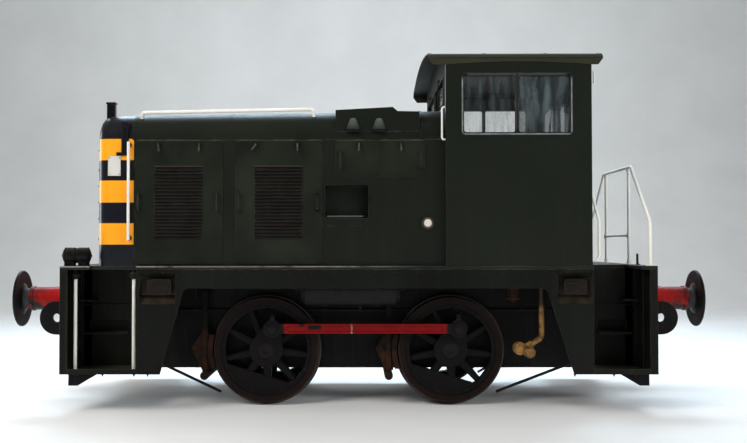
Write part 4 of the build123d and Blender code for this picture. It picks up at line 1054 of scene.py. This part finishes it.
def shoulder_moulding(side, sign):
    """A half-round moulding where the bonnet's top meets its side."""
    moulding = Piece()
    y = BONNET_HALF * sign
    moulding.tube(((NOSE_REAR + 0.02, y, 2.5745), (CAB_FRONT - 0.02, y, 2.5745)), 0.0022, sides=8)
    moulding.finish(f"{side}_shoulder_moulding", "dark_green_paint")


def nose_fittings():
    """Feet of the nose rails and the screws of the blank plates."""
    feet, screws = Piece(), Piece()
    for _, sign in SIDES:
        for z in (1.630, 2.520):
            feet.lathe((-2.193, BONNET_HALF * sign, z), (0, sign, 0),
                       ((-0.001, 0.026), (0.007, 0.025), (0.012, 0.016), (0.030, 0.014)))
        for x in (-2.385, -2.292):
            for z in (2.240, 2.398):
                screws.rivet((x, (BONNET_HALF + 0.008) * sign, z), (0, sign, 0), 0.007)
    feet.finish("nose_rail_feet", "brass")
    screws.finish("nose_plate_screws", "bright_steel")


def nose_hood():
    """The striped hood: flat sides and a flat front joined by a wide rounded corner."""
    bend = 0.120
    outlines = [(NOSE_REAR, 0.0), (NOSE_REAR - 0.1, 0.0)]
    for i in range(11):
        turn = math.radians(90 / 10 * i)
        outlines.append((HOOD_FRONT + bend * (1 - math.sin(turn)), bend * (1 - math.cos(turn))))
    hood = Piece()
    rings = []
    for x, inset in outlines:
        section = bonnet_section(x, -inset)
        feet = [(x, y, DECK) for y in (section[0][0], section[-1][0])]
        rings.append([feet[0]] + [(x, y, z) for y, z in section] + [feet[1]])
    hood.skin(rings)
    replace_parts(hood.finish("nose_hood", "dark_green_paint", material=NOSE), "bonnet_nose")


RADIATOR = ((-0.870, 1.566), (0.870, 2.560))      # (y, z) of its lower and upper corner
RADIATOR_BORDER = 0.074


def radiator():
    """The radiator's bevelled surround, its upright bars, and the core's tubes and fins behind."""
    x, back, border = RADIATOR_FRONT, HOOD_FRONT + 0.001, RADIATOR_BORDER
    rings = []
    for at, inset, bend in ((back, 0.0, 0.030), (x + 0.028, 0.0, 0.030), (x, 0.040, 0.020),
                            (x, border - 0.006, 0.014), (x + 0.006, border, 0.012), (back, border, 0.012),
                            (back, 0.0, 0.030)):
        corners = ring_rect(*RADIATOR, inset)
        rings.append(rounded([(at, y, z) for y, z in corners], bend, closed=True))
    surround, bars, core, bolts = Piece(), Piece(), Piece(), Piece()
    surround.skin(rings, capped=False)
    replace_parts(surround.finish("radiator_surround", "black_paint", material=NOSE), "radiator_grille")
    low, high = RADIATOR
    half = high[0] - border
    z0, z1 = low[1] + border, high[1] - border
    for i in range(31):
        y = -half + 2 * half / 32 * (i + 1)
        bars.block((x + 0.014, x + 0.030), (y - 0.005, y + 0.005), (z0 - 0.004, z1 + 0.004))
    for z in (z0 + 0.210, z0 + 0.420, z0 + 0.630):
        bars.block((x + 0.018, x + 0.028), (-half - 0.004, half + 0.004), (z - 0.006, z + 0.006))
    bars.finish("radiator_bars", "black_paint")
    core.block((x + 0.052, back), (-half, half), (z0, z1))
    for y in steps(-half + 0.012, half - 0.012, 0.024):
        core.block((x + 0.048, x + 0.053), (y - 0.003, y + 0.003), (z0, z1))
    for z in steps(z0 + 0.010, z1 - 0.010, 0.024):
        core.block((x + 0.050, x + 0.053), (-half, half), (z - 0.0015, z + 0.0015))
    core.finish("radiator_fins", "greasy_steel", material=CORE)
    places = [(y, z) for y in steps(-0.812, 0.812, 0.15) for z in (low[1] + 0.056, high[1] - 0.056)]
    places += [(y, z) for z in steps(1.66, 2.47, 0.15)[1:-1] for y in (-0.814, 0.814)]
    for y, z in places:
        bolts.bolt((x, y, z), (-1, 0, 0), 0.0095)
    bolts.finish("radiator_bolts", "greasy_steel")


# Cab

def window_seals(side, sign):
    """Black rubber round the side window and each pane, and the catches where the panes meet."""
    seals, catch = Piece(), Piece()
    low, high = SIDE_WINDOW
    seals.bead("y", (CAB_FACE + 0.001) * sign, low, high, -0.002, 0.0055, 0.042)
    for x0, x1 in ((low[0], PANE_JOINT), (PANE_JOINT, high[0])):
        seals.bead("y", (CAB_FACE - 0.017) * sign, (x0 + 0.016, 2.626), (x1 - 0.010, 3.176),
                   0.003, 0.005, 0.026)
    seals.finish(f"{side}_window_seals", "black_paint", material=RUBBER)
    for x in (1.497, 1.528):
        depth = mirrored(CAB_FACE - 0.004, CAB_FACE + 0.008, sign)
        catch.block((x - 0.006, x + 0.006), depth, (2.865, 2.925))
    catch.finish(f"{side}_window_catches", "bright_steel", material=STEEL, bevel=0.002)


END_WINDOWS = (
    # face x, direction out, y span, z span
    (CAB_FRONT, -1, (0.090, 1.080), (2.945, 3.190)),
    (CAB_REAR, 1, (0.430, 1.130), (2.450, 3.120)),
)


def end_window_trim():
    """Rubber and a flat clamping ring round the front and rear windows, with wipers."""
    seals, wipers = Piece(), Piece()
    for x, out, ys, (z0, z1) in END_WINDOWS:
        for _, sign in SIDES:
            y0, y1 = mirrored(*ys, sign)
            for stand, inset, radius in ((0.002, -0.006, 0.009), (0.001, -0.024, 0.004)):
                seals.bead("x", x + stand * out, (y0, z0), (y1, z1), inset, radius, 0.045)
            middle, top = (y0 + y1) / 2, z1 + 0.035
            wipers.lathe((x, middle, top), (out, 0, 0), ((-0.001, 0.017), (0.020, 0.015), (0.024, 0.008)))
            y, z = middle + 0.10 * sign, top - min(0.30, z1 - z0)
            wipers.tube(((x + 0.020 * out, middle, top), (x + 0.022 * out, y, z)), 0.004, sides=6)
            blade = sorted((x + 0.010 * out, x + 0.024 * out))
            wipers.block(blade, (y - 0.004, y + 0.004), (z - 0.10, z + 0.12))
    seals.finish("end_window_seals", "black_paint", material=RUBBER)
    wipers.finish("window_wipers", "black_paint")


def door_seal():
    """Rubber round the rear door's window."""
    seal = Piece()
    x = corner("cab_rear_door", 1).x + 0.001
    seal.bead("x", x, (-0.190, 2.450), (0.190, 3.060), -0.004, 0.008, 0.042)
    seal.finish("rear_door_seal", "black_paint", "cab_rear_door", material=RUBBER)


LAMP_IRONS = (
    # x of the face behind, direction out, y, z of the foot
    (-2.828, -1, -0.42, DECK), (-2.828, -1, 0.42, DECK),
    (2.828, 1, -0.62, DECK), (2.828, 1, 0.62, DECK), (CAB_REAR + 0.004, 1, 0, 3.215),
)


def cab_fittings():
    """Lamp irons, short rails at the rear corners, and the rear door's frame with a drip rail over it."""
    irons, rails, frames = Piece(), Piece(), Piece()
    for x, out, y, z in LAMP_IRONS:
        for reach, height in ((-0.008, 0.11), (0.018, 0.008)):
            irons.block(sorted((x, x + reach * out)), (y - 0.028, y + 0.028), (z, z + height))
    irons.finish("lamp_irons", "black_paint", bevel=0.002)
    x, low, high = CAB_REAR + 0.034, 3.093, 3.225
    for _, sign in SIDES:
        y = 1.205 * sign
        rails.tube(((CAB_REAR, y, low), (x, y, low), (x, y, high), (CAB_REAR, y, high)), 0.010, 0.016)
        for z in (low, high):
            rails.lathe((CAB_REAR, y, z), (1, 0, 0), ((-0.001, 0.022), (0.006, 0.020)))
    rails.finish("rear_corner_rails", "white_paint")
    for y0, y1, z0, z1, stand in ((-0.335, -0.312, 1.360, 3.185, 0.006), (0.312, 0.335, 1.360, 3.185, 0.006),
                                  (-0.312, 0.312, 3.162, 3.185, 0.006), (-0.36, 0.36, 3.187, 3.197, 0.040)):
        frames.block((CAB_REAR, CAB_REAR + stand), (y0, y1), (z0, z1))
    frames.finish("rear_door_frame", "dark_green_paint", bevel=0.0015)


def roof_line(y, stand):
    """The height of the roof's outside at y, close to the arc from edge to crown."""
    edge, crown, half = 3.394, 3.490, 1.190
    rise = crown - edge
    radius = (half * half + rise * rise) / (2 * rise)
    return crown - radius + math.sqrt((radius + stand) ** 2 - y * y)


def roof_section(_, stand):
    return [(y, roof_line(y, stand)) for y in steps(-1.185, 1.185, 0.08)]


def roof_fittings():
    """Cover strips across the roof, their rivets, and a gutter over each side."""
    strips, gutters, rivets = Piece(), Piece(), Piece()
    low, high = corner("cab_roof", 0).x, corner("cab_roof", 1).x
    for x in (low + 0.020, 1.21, 1.80, high - 0.020):
        strips.strap(x - 0.018, x + 0.018, roof_section, -0.004, 0.004)
        for y in steps(-1.12, 1.12, 0.14):
            rivets.rivet((x, y, roof_line(y, 0.004)), (0, y * 0.13, 1), 0.006)
    strips.finish("roof_strips", "roof_paint")
    rivets.finish("roof_rivets", "roof_paint")
    for _, sign in SIDES:
        y = 1.2655 * sign
        gutters.tube(((low + 0.05, y, 3.346), (high - 0.05, y, 3.346)), 0.0045, sides=8)
    gutters.finish("roof_gutters", "roof_paint")


DESK_FACE = ((1.003, 2.400), (1.203, 2.290))    # (x, z) of the desk's sloping top


def desk_point(share, y):
    """A point on the desk's sloping top, share of the way down it, and the way the top faces."""
    (x0, z0), (x1, z1) = DESK_FACE
    normal = Vector((z0 - z1, 0, x1 - x0)).normalized()
    return Vector((x0, y, z0)) + Vector((x1 - x0, 0, z1 - z0)) * share, normal


def cab_controls():
    """Dials and levers on the desk."""
    bezels, faces, marks, levers = Piece(), Piece(), Piece(), Piece()
    across = Vector((0, 1, 0))
    for y in (-0.38, -0.20, 0.0, 0.20, 0.38):
        place, normal = desk_point(0.42, y)
        radius = 0.052 if y else 0.068
        bezels.lathe(place, normal, ((-0.001, radius), (0.024, radius), (0.030, radius * 0.93),
                                     (0.024, radius * 0.86)), sides=28)
        faces.lathe(place, normal, ((0.016, radius * 0.88), (0.025, radius * 0.87)), sides=28)
        up = across.cross(normal)
        for i in range(11):
            turn = math.radians(-135 + 27 * i)
            out = (up * math.cos(turn) + across * math.sin(turn)) * radius
            base = place + normal * 0.0262
            marks.tube((base + out * 0.64, base + out * 0.80), 0.0013, sides=4)
        base = place + normal * 0.0265
        marks.tube((base, base + up * radius * 0.6), 0.0016, sides=4)
    bezels.finish("dial_bezels", "brass")
    faces.finish("dial_faces", "white_paint", material=DIAL)
    marks.finish("dial_marks", "black_paint", material=RUBBER)
    for y, lean in ((-0.29, 0.25), (-0.10, -0.1), (0.11, 0.15), (0.30, -0.2)):
        place, normal = desk_point(0.86, y)
        tip = place + normal * 0.12 + Vector((lean * 0.2, lean * 0.3, 0.03))
        levers.lathe(place, normal, ((-0.001, 0.024), (0.016, 0.020)))
        levers.tube((place, tip), 0.006, sides=8)
        knob = ((-0.014, 0.006), (-0.008, 0.015), (0.004, 0.018), (0.014, 0.012))
        levers.lathe(tip, normal, knob, sides=12)
    levers.finish("desk_levers", "black_paint")


# Platform, headstocks and steps

def platform_fittings():
    """Rivets of the valances, and the studs below the step wells."""
    rivets, studs = Piece(), Piece()
    places = [(x, DECK - 0.060, 0.0085) for x in steps(SIDE_FRONT + 0.05, SIDE_REAR - 0.05, 0.205)]
    places += [(x, z, 0.0075) for x in (SIDE_FRONT + 0.02, SIDE_REAR - 0.02) for z in steps(0.40, 1.24, 0.17)]
    for x0, x1 in POCKETS:
        places += [(x, z, 0.006) for x in (x0 - 0.013, x1 + 0.013) for z in (1.03, 1.15, 1.27)]
    for _, sign in SIDES:
        for x, z, size in places:
            rivets.rivet((x, SIDE_FACE * sign, z), (0, sign, 0), size)
        y = (SIDE_FACE - 0.025) * sign
        for x in (-2.43, -2.13, -2.00, 2.05, 2.42, 2.62):
            studs.bolt((x, y, SKIRT + 0.001), (0, 0, -1), 0.011)
            studs.lathe((x, y, SKIRT), (0, 0, -1), ((0, 0.006), (0.022, 0.006)), sides=8)
    rivets.finish("valance_rivets", "dark_green_paint")
    studs.finish("step_studs", "greasy_steel")


WELL_BACK = 0.675                  # centre line to the back plate of a step well
WELL_DEPTH = 0.235


def well_corners():
    """Angle sheets that close each step well between its back plate and the headstock."""
    sheets = Piece()
    inner, back, front = HEADSTOCK - 0.031, WELL_BACK, WELL_BACK + WELL_DEPTH
    plan = ((inner - 0.120, back - 0.008), (inner, back - 0.008), (inner, front), (inner - 0.008, front),
            (inner - 0.008, back), (inner - 0.120, back))
    for _, along in ENDS:
        for _, sign in SIDES:
            sheets.skin([[(x * along, y * sign, z) for x, y in plan] for z in (SKIRT, DECK - 0.016)])
            sheets.block(mirrored(inner - 0.060, inner, along), mirrored(back, front, sign),
                         (SKIRT, SKIRT + 0.006))
    sheets.finish("well_corner_sheets", "dark_green_paint")


FRAME_ENDS = (
    # x span of the deep end of each frame plate
    (-2.300, -1.600), (1.460, 2.300),
)


def frame_end_plates():
    """The frame plates' deep ends, from the wheels to the step wells, within the plates' thickness."""
    plates = Piece()
    for ends in FRAME_ENDS:
        for _, sign in SIDES:
            plates.block(ends, mirrored(0.584, 0.608, sign), (0.3205, 0.780))
    plates.finish("frame_end_plates", "black_paint")


def headstock_fittings(end, sign):
    """Rivets of one headstock, and the nuts round its buffers, steps and draw hook."""
    x = HEADSTOCK * sign
    rivets, nuts = Piece(), Piece()
    for z in (0.835, 1.290):
        for y in steps(-1.20, 1.20, 0.12):
            if min(math.hypot(abs(y) - BUFFER_Y, z - BUFFER_Z), math.hypot(y, z - BUFFER_Z)) > 0.21:
                rivets.rivet((x, y, z), (sign, 0, 0), 0.011)
    for _, side in SIDES:
        for y in (0.885, 1.225):
            for z in steps(0.375, 0.760, 0.13):
                rivets.rivet((x, y * side, z), (sign, 0, 0), 0.010)
        for z in steps(0.40, 1.26, 0.17):
            rivets.rivet((x - 0.045 * sign, SIDE_FACE * side, z), (0, side, 0), 0.008)
        for i in range(4):
            turn = math.radians(45 + 90 * i)
            y, z = BUFFER_Y * side + 0.155 * math.cos(turn), BUFFER_Z + 0.155 * math.sin(turn)
            nuts.bolt((x + 0.024 * sign, y, z), (sign, 0, 0), 0.019, turn=0.3 * i)
        for z in (0.735, 0.985):
            for y in (1.078, 1.132):
                nuts.bolt((x + 0.014 * sign, y * side, z), (sign, 0, 0), 0.009)
        for z in (0.940, 1.130):
            nuts.bolt((x + 0.022 * sign, 0.115 * side, z), (sign, 0, 0), 0.017)
    rivets.finish(f"{end}_headstock_rivets", "black_paint")
    nuts.finish(f"{end}_headstock_nuts", "greasy_steel")


def railing_fittings():
    """Feet and clamps of the rear railing, and feet of the bow rails."""
    clamps = Piece()
    x = 2.785
    for _, sign in SIDES:
        for y in (1.190, 0.460):
            clamps.lathe((x, y * sign, DECK - 0.001), (0, 0, 1),
                         ((0, 0.042), (0.008, 0.041), (0.010, 0.024), (0.045, 0.022)), sides=18)
        y = 0.460 * sign
        clamps.lathe((x, y, 1.627), (0, 0, 1), ((0, 0.020), (0.006, 0.023), (0.050, 0.023), (0.056, 0.020)))
        clamps.lathe((x, y, 2.310), (0, 0, 1), ((0, 0.019), (0.008, 0.022), (0.026, 0.022)))
        for z in (1.407, 2.118):
            foot = ((-0.001, 0.032), (0.006, 0.030), (0.012, 0.018))
            clamps.lathe((CAB_REAR, 1.197 * sign, z), (1, 0, 0), foot)
    clamps.finish("railing_clamps", "white_paint")


def drum_fittings():
    """Ribs and end nuts of the two drums on the platform."""
    ribs = Piece()
    low, high = corner("platform_drums", 0), corner("platform_drums", 1)
    y, z = (low.y + high.y) / 2, high.z - 0.076
    for x in (-2.808, -2.783, -2.758, -2.733, -2.672, -2.647, -2.622, -2.597):
        outline = ((-0.005, 0.075), (-0.004, 0.079), (0.004, 0.079), (0.005, 0.075))
        ribs.lathe((x, y, z), (1, 0, 0), outline, sides=36)
    for x, out in ((low.x, -1), (high.x, 1)):
        ribs.bolt((x, y, z), (out, 0, 0), 0.014)
    ribs.finish("drum_ribs", "black_paint")


# Running gear

def wheel_fittings(end, side, sign):
    """Tyre studs, axle-end cap and crank-pin nut of one wheel."""
    studs, cap = Piece(), Piece()
    x, out = AXLES[end], (0, sign, 0)
    rim, face = 0.799 * sign, 0.833 * sign
    for i in range(9):
        turn = math.radians(40 * i + CRANK_ANGLE[side] + 20)
        studs.bolt((x + 0.431 * math.cos(turn), rim, TREAD + 0.431 * math.sin(turn)), out, 0.011)
    for i in range(6):
        turn = math.radians(60 * i + 12)
        studs.rivet((x + 0.097 * math.cos(turn), face, TREAD + 0.097 * math.sin(turn)), out, 0.008)
    cap.lathe((x, 0.826 * sign, TREAD), out,
              ((0, 0.080), (0.006, 0.079), (0.009, 0.070), (0.006, 0.022), (0.001, 0.014)), sides=28)
    px, pz = crank_pins(side)[0 if end == "front" else 1]
    cap.lathe((px, 0.958 * sign, pz), out, ((0, 0.046), (0.006, 0.045), (0.008, 0.040)), sides=24)
    cap.lathe((px, 0.965 * sign, pz), out, ((0, 0.028), (0.016, 0.028), (0.019, 0.024)), sides=6)
    studs.finish(f"{end}_{side}_wheel_studs", "wheel_black", f"{end}_wheelset",
                 material=MATERIALS["greasy_steel"])
    cap.finish(f"{end}_{side}_axle_cap", "greasy_steel", f"{end}_wheelset")


def rod_fittings(side, sign):
    """Oil cups with their lids, and the keeper bolts of each boss."""
    cups, bolts = Piece(), Piece()
    outer, out = ROD_OUTER * sign, (0, sign, 0)
    for x, z in crank_pins(side):
        cups.lathe((x, (ROD_OUTER - 0.031) * sign, z + 0.110), (0, 0, 1),
                   ((0, 0.019), (0.014, 0.019), (0.018, 0.023), (0.024, 0.023), (0.030, 0.010)))
        cups.lathe((x, outer, z), out, ((-0.001, 0.078), (0.0025, 0.077), (0.003, 0.0665), (-0.001, 0.0665)),
                   sides=32)
        for dx in (-0.062, 0.062):
            bolts.bolt((x + dx, outer, z + 0.040), out, 0.008)
    cups.finish(f"{side}_rod_oil_cups", "brass", f"{side}_coupling_rod", material=MATERIALS["greasy_steel"])
    bolts.finish(f"{side}_rod_bolts", "greasy_steel", f"{side}_coupling_rod")


BRAKE_SHAFT = -0.613               # from each axle to the brake shaft ahead of it
PULL_ROD_LEVEL = 0.385


def underframe_fittings():
    """Horn stays, bolts on the frame plates, and brake pull rods."""
    stays, rods = Piece(), Piece()
    shafts = [x + BRAKE_SHAFT for x in AXLES.values()]
    for _, sign in SIDES:
        for x in AXLES.values():
            stays.block((x - 0.205, x + 0.205), mirrored(0.585, 0.607, sign), (0.326, 0.366))
            for dx in (-0.185, 0.185):
                stays.bolt((x + dx, 0.607 * sign, 0.346), (0, sign, 0), 0.014)
                for z in (0.43, 0.55, 0.67):
                    stays.bolt((x + dx * 1.05, 0.610 * sign, z), (0, sign, 0), 0.012)
        for x in shafts:
            rods.block((x - 0.020, x + 0.020), mirrored(0.236, 0.264, sign), (0.29, 0.405))
        y = 0.250 * sign
        rods.tube([(x, y, PULL_ROD_LEVEL) for x in shafts], 0.016)
        rods.lathe((-0.75, y, PULL_ROD_LEVEL), (1, 0, 0),
                   ((-0.09, 0.018), (-0.08, 0.027), (0.08, 0.027), (0.09, 0.018)), sides=6)
    stays.finish("horn_stays", "greasy_steel")
    rods.finish("brake_pull_rods", "rusty_steel")


AIR_PIPES = (
    # x, y and z of each bend of the near pipes, with y towards the side
    ((0.395, 1.070, 1.130), (0.455, 1.070, 1.130), (0.455, 1.070, 1.240), (0.455, 0.72, 1.285),
     (1.55, 0.72, 1.285)),
    ((-0.545, 1.070, 1.130), (-0.620, 1.070, 1.130), (-0.620, 1.070, 1.275), (-1.62, 0.75, 1.275),
     (-1.62, 0.75, 1.02)),
)
MAIN_PIPE = (0.64, 0.905)          # y and z of the pipe along each frame plate


def pipework():
    """Air pipes under the platform, their clips, and the drain cocks of the tanks."""
    pipes, clips = Piece(), Piece()
    along, level = MAIN_PIPE
    for _, sign in SIDES:
        for bends in AIR_PIPES:
            pipes.tube([(x, y * sign, z) for x, y, z in bends], 0.011, 0.025)
        pipes.tube([(x, along * sign, level) for x in (-2.45, 2.45)], 0.013)
        for x in steps(-2.3, 2.3, 0.66):
            clips.block((x - 0.014, x + 0.014), mirrored(0.611, 0.656, sign), (level - 0.016, level + 0.016))
            clips.bolt((x, 0.655 * sign, level), (0, sign, 0), 0.006)
        clips.lathe((0.02, 1.070 * sign, 0.972), (0, 0, -1),
                    ((0, 0.016), (0.020, 0.016), (0.022, 0.008), (0.045, 0.008)))
    pipes.finish("air_pipes", "greasy_steel")
    clips.finish("pipe_clips", "greasy_steel")


def lid_fittings():
    """The two straps across each sandbox lid."""
    straps = Piece()
    for _, sign in SIDES:
        for x0, x1 in POCKETS:
            middle = (x0 + 0.068 + x1 - 0.040) / 2
            for z in (1.188, 1.118):
                straps.block((middle - 0.075, middle + 0.075), mirrored(1.2485, 1.2555, sign), (z, z + 0.012))
    straps.finish("sandbox_lid_straps", "rusty_steel", bevel=0.002)


make_camera()
make_studio()
make_floor()
dress_nodes()
for side_name, side_sign in SIDES:
    bonnet_grips(side_name, side_sign)
    bonnet_catches(side_name, side_sign)
    panel_screws(side_name, side_sign)
    foot_hold_beads(side_name, side_sign)
    shoulder_moulding(side_name, side_sign)
    window_seals(side_name, side_sign)
    rod_fittings(side_name, side_sign)
    for end_name, end_sign in ENDS:
        wheel_fittings(end_name, side_name, side_sign)
bonnet_straps()
nose_fittings()
nose_hood()
radiator()
end_window_trim()
door_seal()
cab_fittings()
roof_fittings()
cab_controls()
platform_fittings()
for end_name, end_sign in ENDS:
    headstock_fittings(end_name, end_sign)
well_corners()
frame_end_plates()
railing_fittings()
drum_fittings()
underframe_fittings()
pipework()
lid_fittings()
